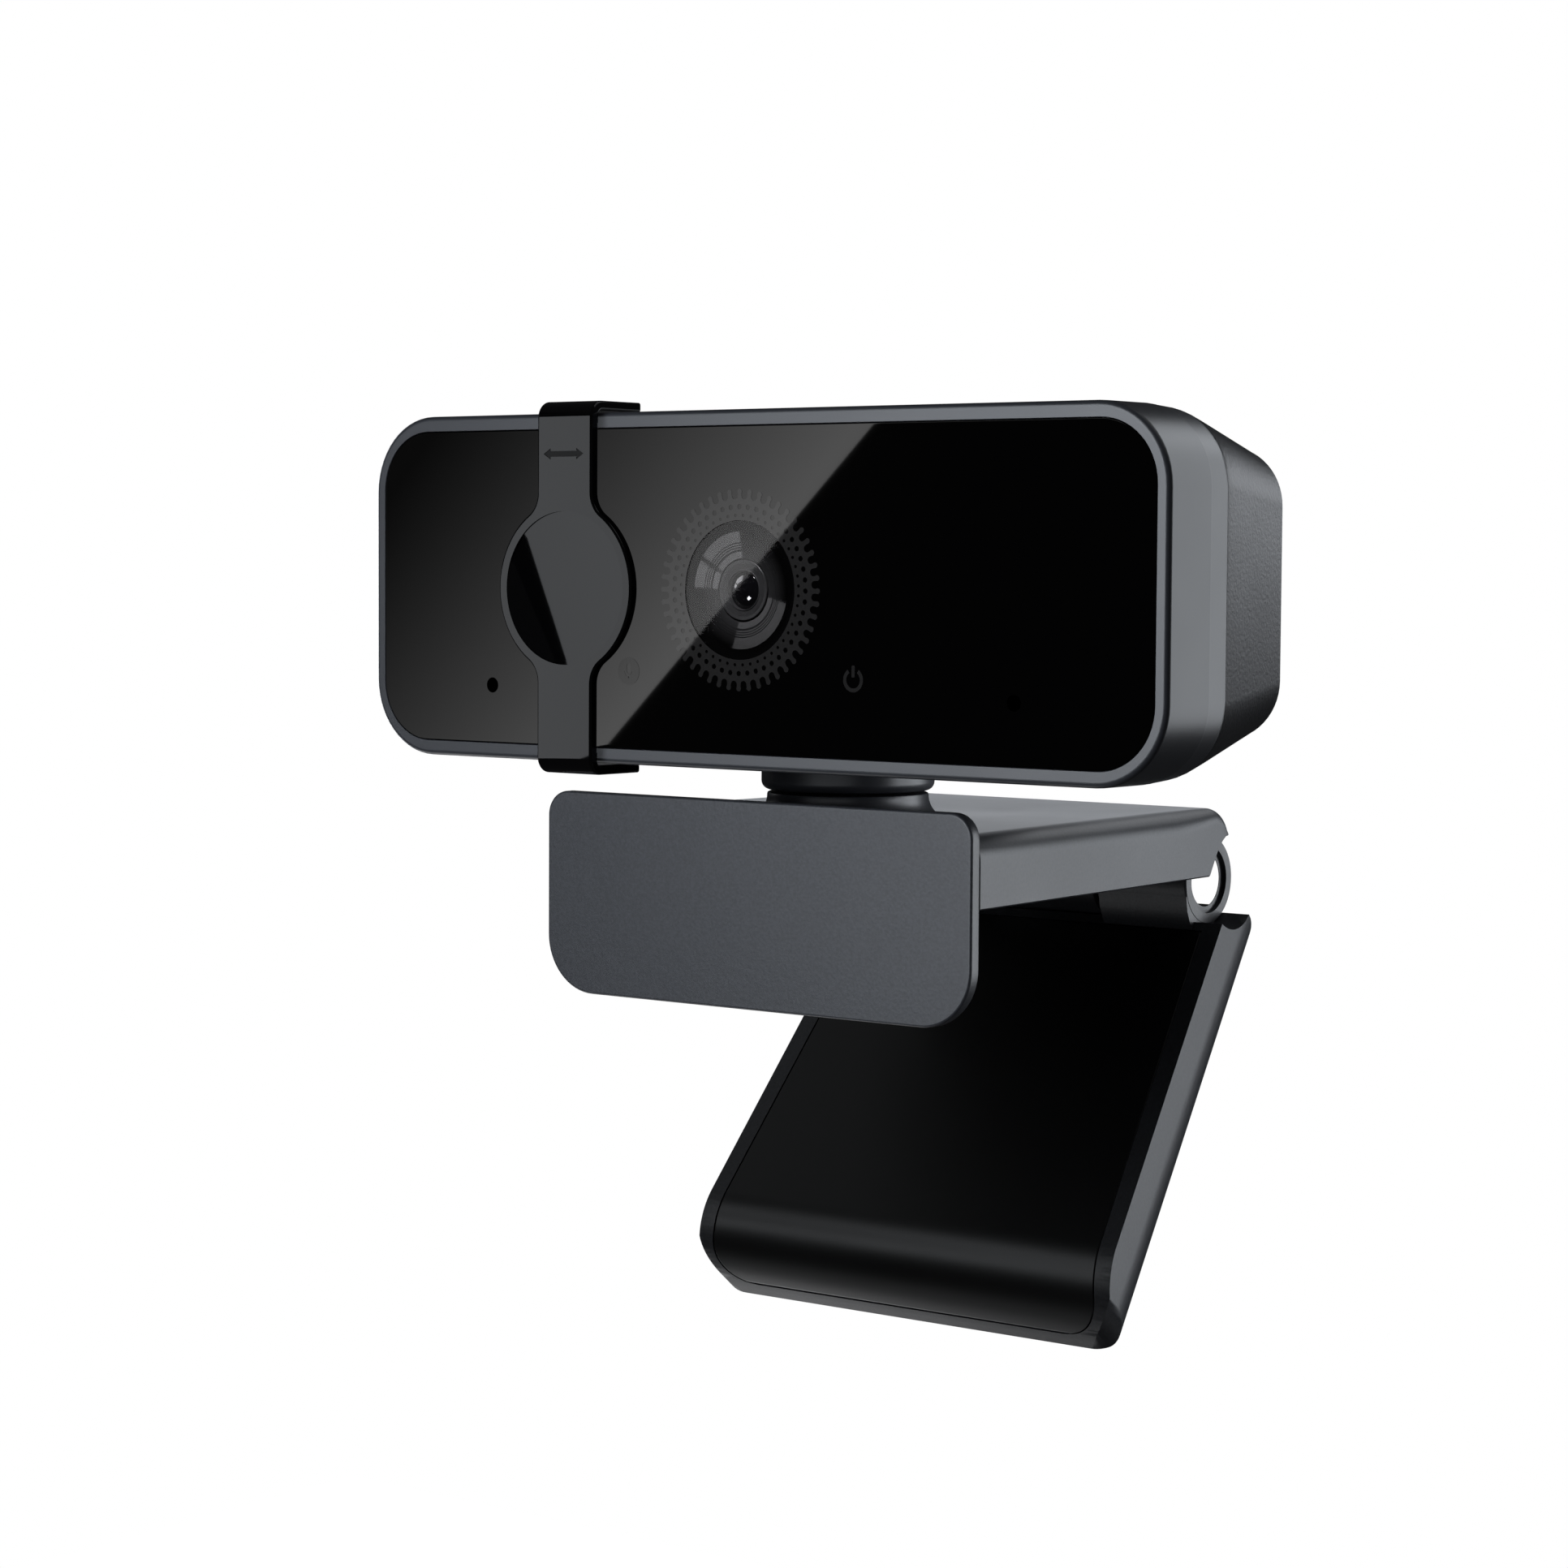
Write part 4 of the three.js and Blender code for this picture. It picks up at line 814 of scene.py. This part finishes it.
def plate_loop(inset, y):
    half = ARM_HALF - inset
    return in_xz(rounded_box(-half, half, PLATE_BOTTOM + inset, PLATE_TOP - inset, PLATE_UPPER_CORNER - inset,
                             PLATE_LOWER_CORNER - inset, steps=16), y)


plate = [plate_loop(0.25, PLATE_REAR_Y), plate_loop(0.06, -20.62), plate_loop(0, -20.8)]
plate += [plate_loop(inset, PLATE_EDGE_Y - advance) for inset, advance in rounded_edge(PLATE_EDGE, 4)]
finish(make("front_plate_moulding", stack(plate)), HOUSING, "clip", "housing", "front_plate")

SEAT_HALF_WIDTH, SEAT_HALF_LENGTH, SEAT_THICKNESS, SEAT_EDGE = 19, 18, 0.9, 0.25


def seat_pad():
    """Flat pad with rounded lower edges."""
    def outline(inset):
        half_width, half_length = SEAT_HALF_WIDTH - inset, SEAT_HALF_LENGTH - inset
        return rounded_box(-half_width, half_width, -half_length, half_length, 1.9 - inset * 0.5, steps=10)
    loops = [in_xy(outline(0), SEAT_THICKNESS)]
    loops += [in_xy(outline(inset), SEAT_EDGE - advance) for inset, advance in rounded_edge(SEAT_EDGE, 4)]
    return stack(loops)


finish(make("seat_pad_rubber", seat_pad()), SEAT_RUBBER, "clip", "rubber", "seat_pad")

COVER_SCREWS = [("cover_screw_front_left", -21.6, -15.5), ("cover_screw_rear_left", -18.5, 21),
                ("cover_screw_front_right", 21.6, -15.5), ("cover_screw_rear_right", 18.5, 21)]
lid_plan = tapered_plate(24.4, -18.5, 22.1, 24.6)
lid = make("arm_cover_moulding", prism(lid_plan, "z", ARM_BOTTOM, ARM_BOTTOM + 1.9))
soften(lid, 0.2, 2, 40)
combine(lid, "DIFFERENCE", prism(rounded_box(-19.1, 19.1, -18.1, 18.1, 2, steps=10), "z", -1, 1.0),
        *[rod("z", (x, y, 0), 2.0, -1, ARM_BOTTOM + 1.4) for _, x, y in COVER_SCREWS],
        *[rod("z", (x, y, 0), 1.2, -1, 4) for _, x, y in COVER_SCREWS])
finish(lid, BLACK, "clip", "black_plastic", "arm_cover")
for node, x, y in COVER_SCREWS:
    cross_head_screw(node, (x, y, 0), "z", ARM_BOTTOM + 0.05, 4.8, 1.8, 0.95, "clip")


# ---------- leg, in its hinge's own frame

LEAN = math.radians(38.66)
LEG = Matrix.Translation(Vector(HINGE_CENTRE) * MM) @ Matrix.Rotation(-LEAN, 4, "X")
FRONT, LENGTH, THICK, SIDE, CROWN = 0.585, 53.1, 8.18, 3.6, 2.4
LEG_HALF, LEG_FLARE, LEG_TOP, LEG_CORNER = 23.49, 0.0703, 2, 4.4
RIDGE_RADIUS, RIDGE_END = 5.2, math.radians(-9)
TOE = 8.1
TOE_Z = -(LENGTH - TOE)
WRAP, PAD_FLARE = math.radians(75), 0.0781


def leg_section(z):
    """Outline of the leg at one height: flat front, straight sides and an elliptical crown behind."""
    half = LEG_HALF - LEG_FLARE * z
    rear = [(half - CROWN * (1 - math.cos(QUARTER * i / 16)),
             FRONT + SIDE + (THICK - SIDE) * math.sin(QUARTER * i / 16)) for i in range(17)]
    return in_xy([(-half, FRONT - 2), (half, FRONT - 2)] + rear + [(-x, y) for x, y in rear[::-1]], z)


def leg_side():
    """Side outline of the leg in (y, z): straight front, quarter-round toe, shoulder, scoop round the hinge."""
    rear = FRONT + THICK + 1
    ridge = arc(0, 0, RIDGE_RADIUS, -math.acos(FRONT / RIDGE_RADIUS), RIDGE_END, 16)
    tip_y, tip_z = ridge[-1]
    shoulder = []
    for i in range(1, 13):
        t = i / 12
        shoulder.append((rear - (rear - tip_y) * (1 - t) ** 2, tip_z - 7 * t * t))
    toe = arc(FRONT + TOE, TOE_Z, TOE, math.pi, 1.5 * math.pi, 28)
    return toe + [(rear, -LENGTH)] + shoulder[::-1] + ridge[::-1]


def leg_plan(steps=16):
    """Front outline of the leg in (x, z): it widens downwards and has rounded lower corners."""
    corner_z = LEG_CORNER - LENGTH
    top, end, lower = (LEG_HALF - LEG_FLARE * z for z in (LEG_TOP, -LENGTH, corner_z))
    left = arc(LEG_CORNER - end, corner_z, LEG_CORNER, math.pi, 1.5 * math.pi, steps)[1:]
    right = arc(end - LEG_CORNER, corner_z, LEG_CORNER, -QUARTER, 0, steps)[:-1]
    return [(top, LEG_TOP), (-top, LEG_TOP), (-lower, corner_z)] + left + right + [(lower, corner_z)]


def front_skin(half, top, wrap, corner, outer, inner, edge):
    """Body of even depth swept down the leg's front and round its toe, with rounded lower corners."""
    stations = [(z, 0) for z in (top, top - 0.1, top - 1, -15, -25, -35, TOE_Z + 0.5)]
    stations += [(TOE_Z, wrap * i / 60) for i in range(61)]
    loops = []
    for index, (level, angle) in enumerate(stations):
        inward, up = math.cos(angle), math.sin(angle)
        y = FRONT + TOE - TOE * inward
        z = level - TOE * up
        left = TOE * (wrap - angle) if angle else corner
        rounding = math.sqrt(max(corner ** 2 - max(corner - left, 0) ** 2, 0))
        wide = half - PAD_FLARE * z - corner + rounding
        trim = edge * 0.6 if index in (0, len(stations) - 1) else 0
        section = rounded_box(-wide + trim, wide - trim, outer + trim, inner - trim, edge, steps=4)
        loops.append([(x, y + inward * d, z + up * d) for x, d in section])
    return stack(loops)


def finish_on_leg(obj, material, slot, node=None):
    """Leans the piece, made upright round the hinge, as the leg leans, and finishes it."""
    obj.data.transform(LEG)
    finish(obj, material, "leg", slot, node)


leg = make("leg_moulding", stack([leg_section(-LENGTH - 1), leg_section(LEG_TOP)]))
combine(leg, "INTERSECT", prism(leg_side(), "x", -30, 30), prism(leg_plan(), "y", -1, 12))
soften(leg, 0.22, 2, 38)
combine(leg, "DIFFERENCE", front_skin(21.19, -6.2, WRAP + 0.02, 5.1, -1.0, 1.2, 0.02))
finish_on_leg(leg, HOUSING, "housing", "leg_frame")
pad = make("leg_pad_rubber", front_skin(21.1, -6.3, WRAP + 0.008, 5.0, 0.02, 1.15, 0.14))
finish_on_leg(pad, RUBBER, "rubber", "leg_pad")


def leg_knuckle(side, name):
    """Hinge barrel at one side of the leg: bored, stepped at its outer end and cut open behind."""
    def along(a, b):
        return sorted((side * a, side * b))

    start, end = along(9.1, 20.45)
    chamfered = [(0, start), (KNUCKLE_RADIUS - 0.2, start), (KNUCKLE_RADIUS, start + 0.2),
                 (KNUCKLE_RADIUS, end - 0.2), (KNUCKLE_RADIUS - 0.2, end), (0, end)]
    barrel = make(name, lathe(chamfered, (0, 0, 0), "x", 96, ring=False))
    foot = [(-2.6, -4.1), (-1.4, -5.2), (FRONT, -6.2), (4, -6.2), (4, -2.4), (0, 0)]
    combine(barrel, "UNION", prism(foot, "x", start + 0.05, end - 0.05))
    window = [(y * math.cos(LEAN) - z * math.sin(LEAN), y * math.sin(LEAN) + z * math.cos(LEAN))
              for y, z in ((1, -3.1), (6, -3.1), (6, 6), (1, 6))]
    combine(barrel, "DIFFERENCE", rod("x", (0, 0, 0), 2.94, *along(11.5, 21.5), 96),
            rod("x", (0, 0, 0), 3.65, *along(20.0, 21.0), 96), prism(window, "x", *along(11.6, 19.9)))
    finish_on_leg(barrel, HOUSING, "housing")


leg_knuckle(-1, "leg_knuckle_left")
leg_knuckle(1, "leg_knuckle_right")


# ---------- camera

CAMERA = Vector((225.27, -308.58, 34.2))
YAW, PITCH, ROLL = math.radians(37.643), math.radians(3.55), math.radians(0.347)

forward = Vector((-math.sin(YAW) * math.cos(PITCH), math.cos(YAW) * math.cos(PITCH), -math.sin(PITCH)))
right = Vector((math.cos(YAW), math.sin(YAW), 0))
up = right.cross(forward)
right, up = (math.cos(ROLL) * right + math.sin(ROLL) * up, math.cos(ROLL) * up - math.sin(ROLL) * right)
optics = bpy.data.cameras.new("camera")
optics.sensor_width = 36
optics.lens = 83.53
optics.clip_start = 0.01
camera = place_in_scene("camera", optics)
camera.matrix_world = Matrix.Translation(CAMERA * MM) @ Matrix((right, up, -forward)).transposed().to_4x4()
bpy.context.scene.camera = camera
bpy.context.scene.view_settings.view_transform = "Standard"
bpy.context.scene.view_settings.look = "None"


# ---------- cards of light seen in the gloss

WHITE = (1, 1, 1, 1)


def only_on(light, names):
    """Links a light to the pieces whose names start with one of these words."""
    group = bpy.data.collections.new(light.name + "_lit")
    for obj in bpy.data.objects:
        if obj.type == "MESH" and obj.name.startswith(names):
            group.objects.link(obj)
    light.light_linking.receiver_collection = group


def unseen_by(obj, *rays):
    for ray in rays:
        setattr(obj, "visible_" + ray, False)


def faded(look, near, far, end, strength):
    """Light strength that falls from the near point to the far one, to a share of it there."""
    way = far - near
    along = look.add("VectorMath", [(1, way / way.length_squared)], operation="DOT_PRODUCT")
    look.link(look.add("TexCoord").outputs["Object"], along, 0)
    start = near.dot(way) / way.length_squared
    level = look.ranged(along.outputs["Value"], 1, end, (start, start + 1))
    for operation, value in (("POWER", 2.2), ("MULTIPLY", strength)):
        step = look.add("Math", [(1, value)], operation=operation)
        look.link(level, step, 0)
        level = step.outputs["Value"]
    return level


def light_card(name, verts, faces, strength, names, fade=None):
    """White card that only the reflections of the named pieces see. fade is (near, far, end share)."""
    mesh = bpy.data.meshes.new(name)
    mesh.from_pydata([Vector(v) * MM for v in verts], [], faces)
    card = place_in_scene(name, mesh)
    look = Look(name)
    glow = look.add("Emission", [("Color", WHITE), ("Strength", strength)])
    if fade:
        look.link(faded(look, fade[0] * MM, fade[1] * MM, fade[2], strength), glow, "Strength")
    look.show(glow, "Emission")
    mesh.materials.append(look.material)
    unseen_by(card, "camera", "diffuse", "shadow", "transmission")
    only_on(card, names)


def behind_glass(points, reach):
    """Points of the panel's plane, moved `reach` times farther away to where the camera sees them mirrored."""
    mirrored = Vector((CAMERA.x, 2 * GLASS_Y - CAMERA.y, CAMERA.z))
    return [mirrored + (Vector((x, GLASS_Y, z)) - mirrored) * reach for x, z in points]


def mirrored_at(theta, tilt, inward):
    """Direction that the camera sees mirrored on a cone round the lens, at an angle round it."""
    to_camera = (CAMERA - Vector((0, GLASS_Y, LENS_Z))).normalized()
    way = -1 if inward else 1
    normal = Vector((way * math.sin(tilt) * math.cos(theta), -math.cos(tilt),
                     way * math.sin(tilt) * math.sin(theta)))
    return (2 * normal.dot(to_camera) * normal - to_camera).normalized()


def ribbon(name, start, end, tilt, spread, strength, names, inward, reach=600, steps=12):
    """Curved card that shows on a cone round the lens as the sector between two angles, in degrees."""
    centre = Vector((0, GLASS_Y, LENS_Z))
    angles = [math.radians(start + (end - start) * i / steps) for i in range(steps + 1)]
    inner, outer = ([centre + mirrored_at(angle, edge, inward) * reach for angle in angles]
                    for edge in (tilt - spread, tilt + spread))
    count = steps + 1
    faces = [(i, i + 1, count + i + 1, count + i) for i in range(steps)]
    light_card(name, inner + outer, faces, strength, names)


# The glass card's edge shows on the panel as a slanting line between its upper and lower sides.
GLASS_REACH, CARD_MARGIN = 4.5, 70
EDGE_TOP, EDGE_BOTTOM = (16.5, 16.3), (-17.5, -16.4)
edge_slope = (EDGE_TOP[0] - EDGE_BOTTOM[0]) / (EDGE_TOP[1] - EDGE_BOTTOM[1])
card_outline = [(EDGE_TOP[0] + CARD_MARGIN * edge_slope, LENS_Z + EDGE_TOP[1] + CARD_MARGIN),
                (EDGE_BOTTOM[0] - CARD_MARGIN * edge_slope, LENS_Z + EDGE_BOTTOM[1] - CARD_MARGIN),
                (-190, LENS_Z - 86), (-190, LENS_Z + 86)]
fade_near, fade_far = behind_glass([(-1, LENS_Z + 0.5), (-30, LENS_Z + 28.3)], GLASS_REACH)
light_card("glass_card", behind_glass(card_outline, GLASS_REACH), [(0, 1, 2, 3)], 1.75,
           ("front_panel", "lens_window", "ring_print", "power_symbol", "microphone_symbol"),
           (fade_near, fade_far, 0.22))


# ---------- soft lights

def softbox(name, place, aim, width, height, watts, tint, names):
    """Rectangular soft light; tint is its red and green beside a full blue, and names the pieces it lights."""
    light = bpy.data.lights.new(name, "AREA")
    light.shape = "RECTANGLE"
    light.size, light.size_y = width * MM, height * MM
    light.energy = watts
    light.color = (*tint, 1.0)
    holder = place_in_scene(name, light)
    holder.location = Vector(place) * MM
    holder.rotation_euler = (Vector(aim) - Vector(place)).to_track_quat("-Z", "Y").to_euler()
    unseen_by(holder, "camera")
    if names:
        only_on(holder, names)
    return holder


def card_light(name, low_corner, high_corner, lean, reach, watts, tint, names):
    """Soft light facing the glass, seen mirrored between two corners of the panel's plane."""
    low, high = behind_glass([low_corner, high_corner], reach)
    light = softbox(name, (0, 0, 0), (0, 1, 0), high.x - low.x, high.z - low.z, watts, tint, names)
    light.location = (low + high) / 2 * MM
    light.rotation_euler = (QUARTER, lean, 0)


EVERYTHING = ()
HEAD_FRAME = ("head_frame",)
NECK = ("neck_", "swivel_")
ARM_BODY = ("arm_shell", "arm_moulding")
KNUCKLES = ("leg_knuckle", "arm_knuckle")
SHELL = ("rear_shell", "cable_gland", "shell_screw")
ARM = ("arm_", "front_plate", "swivel_", "neck_", "hinge_", "seat_", "cover_screw")
LEG_PIECES = ("leg_",)
PRINTS_AND_LENS = ("ring_print", "power_symbol", "microphone_symbol", "lens_")

# Name, place, point it faces, width, height, watts, (red, green), pieces it lights
SOFTBOXES = [
    ("side_box", (620, 660, 30), (20, 0, 0), 560, 620, 5.5, (0.9, 0.945), ARM),
    ("band_box", (510, 765, 30), (20, 0, 0), 560, 620, 3.35, (0.9, 0.945), HEAD_FRAME),
    ("corner_box", (270, 700, 450), (45, -20, 45), 560, 330, 1.7, (0.9, 0.945), HEAD_FRAME),
    ("leg_side_box", (606, 699, 0), (20, 0, -10), 260, 420, 3.0, (0.9, 0.945), LEG_PIECES),
    ("top_box", (420, 300, 850), (0, 0, 0), 900, 800, 1.2, (0.95, 0.97), EVERYTHING),
    ("arm_top_box", (420, 300, 850), (0, 0, 0), 900, 800, 5.6, (0.93, 0.96), ARM_BODY),
    ("plate_fill", (-90, -321, 75), (-90, 0, 75), 220, 260, 1.12, (0.88, 0.93), ("front_plate", "arm_")),
    ("bezel_fill", (-165, -424, 106), (-165, 0, 106), 270, 300, 2.0, (0.88, 0.93), HEAD_FRAME),
    ("neck_box", (850, 270, 20), (0, 0, 10), 260, 400, 2.0, (0.9, 0.94), NECK),
    ("neck_fill", (150, -800, 20), (0, 0, 10), 1000, 300, 1.0, (0.9, 0.94), NECK),
    ("shell_box", (105, 370, 81), (50, 0, 41), 330, 100, 0.225, (0.9, 0.94), ("rear_shell",)),
    ("ink_light", (100, -500, 700), (0, 0, 20), 300, 300, 9, (1, 1), PRINTS_AND_LENS),
    ("toe_box", (-500, -560, 230), (0, -20, -40), 700, 400, 1.3, (0.92, 0.96), LEG_PIECES),
    ("leg_front_box", (-720, -160, 540), (0, -20, -30), 400, 400, 0.16, (0.94, 0.97), LEG_PIECES),
    ("scoop_box", (-600, 330, 720), (0, 30, 0), 350, 300, 0.3, (0.94, 0.97), ("leg_moulding",)),
    ("toe_low_box", (-434, -315, -474), (0, -20, -40), 300, 200, 0.05, (0.94, 0.97), LEG_PIECES),
    ("shell_front_box", (-300, -700, 100), (0, 0, 30), 500, 500, 1.0, (0.95, 0.97), SHELL),
    ("knuckle_box", (-430, -430, -295), (0, 33, 0), 300, 200, 0.25, (0.95, 0.97), KNUCKLES),
    ("arm_edge_box", (25, 110, 78), (25, 25, 8), 60, 50, 0.016, (0.93, 0.96), ("arm_moulding",)),
    ("under_box", (-1040, 120, -1000), (0, 0, -40), 1000, 600, 3.6, (0.97, 0.98),
     LEG_PIECES + ARM + SHELL + HEAD_FRAME),
    ("rear_fill", (-560, 740, 170), (0, 0, 0), 600, 300, 0.86, (0.9, 0.94), ARM_BODY),
    ("back_box", (-800, 380, -60), (0, 0, 20), 600, 500, 5, (0.95, 0.97), SHELL + HEAD_FRAME),
    ("back_key", (650, 700, 220), (0, 0, 20), 600, 600, 1.1, (0.95, 0.97), SHELL + KNUCKLES),
    ("leg_back_box", (620, -90, -650), (0, 0, -30), 500, 400, 0.75, (0.95, 0.97),
     LEG_PIECES + ("arm_cover", "seat_pad")),
]
for settings in SOFTBOXES:
    softbox(*settings)
card_light("cover_card", (-170, LENS_Z - 90), (-16, LENS_Z + 90), math.radians(21), 2.9, 0.98, (0.93, 0.96),
           ("privacy_cover", "cover_arrow"))

# Sectors seen in the lens, in degrees: name, first and last angle, cone's tilt and half spread; strength
FUNNEL_SECTORS = [("lens_window_card", 92, 146, CONE, 3, 3.2), ("lens_window_card_low", 151, 178, CONE, 3, 3.6),
                  ("lens_lobe_card", -100, -12, CONE, 3, 1.6)]
ELEMENT_SECTORS = [("element_window_card", 95, 140, 22, 6, 4), ("element_window_card_low", 146, 168, 22, 6, 4),
                   ("element_spark", -58, -38, 20, 2.5, 26)]
for sectors, names, inward in ((FUNNEL_SECTORS, ("lens_funnel", "lens_barrel"), True),
                               (ELEMENT_SECTORS, ("lens_element",), False)):
    for name, first, last, tilt, spread, strength in sectors:
        ribbon(name, first, last, math.radians(tilt), math.radians(spread), strength, names, inward)

# No gloss mirrors the cover, so the panel stays even beside it.
for name in ("privacy_cover_gloss", "privacy_cover_strap_top", "privacy_cover_strap_bottom", "cover_arrow"):
    unseen_by(bpy.data.objects[name], "glossy")
unseen_by(frame["nodes"]["cover_liner"], "glossy")


# ---------- white studio

FLOOR_HALF, FLOOR_Z = 4, -1.5            # metres


def white_world():
    """White where the camera looks, and almost black to everything else."""
    world = bpy.data.worlds.new("studio")
    bpy.context.scene.world = world
    world.use_nodes = True
    nodes, links = world.node_tree.nodes, world.node_tree.links
    nodes.clear()
    output, mix, path = (nodes.new("ShaderNode" + kind) for kind in ("OutputWorld", "MixShader", "LightPath"))
    links.new(path.outputs["Is Camera Ray"], mix.inputs["Fac"])
    for socket, color in ((1, (0.02, 0.02, 0.021, 1)), (2, WHITE)):
        background = nodes.new("ShaderNodeBackground")
        background.inputs["Color"].default_value = color
        links.new(background.outputs["Background"], mix.inputs[socket])
    links.new(mix.outputs["Shader"], output.inputs["Surface"])


def white_floor():
    corners = [(-1, -1), (1, -1), (1, 1), (-1, 1)]
    mesh = bpy.data.meshes.new("floor")
    mesh.from_pydata([(x * FLOOR_HALF, y * FLOOR_HALF, FLOOR_Z) for x, y in corners], [], [(0, 1, 2, 3)])
    floor = place_in_scene("floor", mesh)
    look = Look("floor_white")
    for socket, value in (("Base Color", (0.9, 0.9, 0.9, 1)), ("Roughness", 0.9), ("Emission Color", WHITE),
                          ("Emission Strength", 1)):
        look.shading.inputs[socket].default_value = value
    mesh.materials.append(look.material)
    unseen_by(floor, "diffuse", "glossy", "transmission")


white_world()
white_floor()
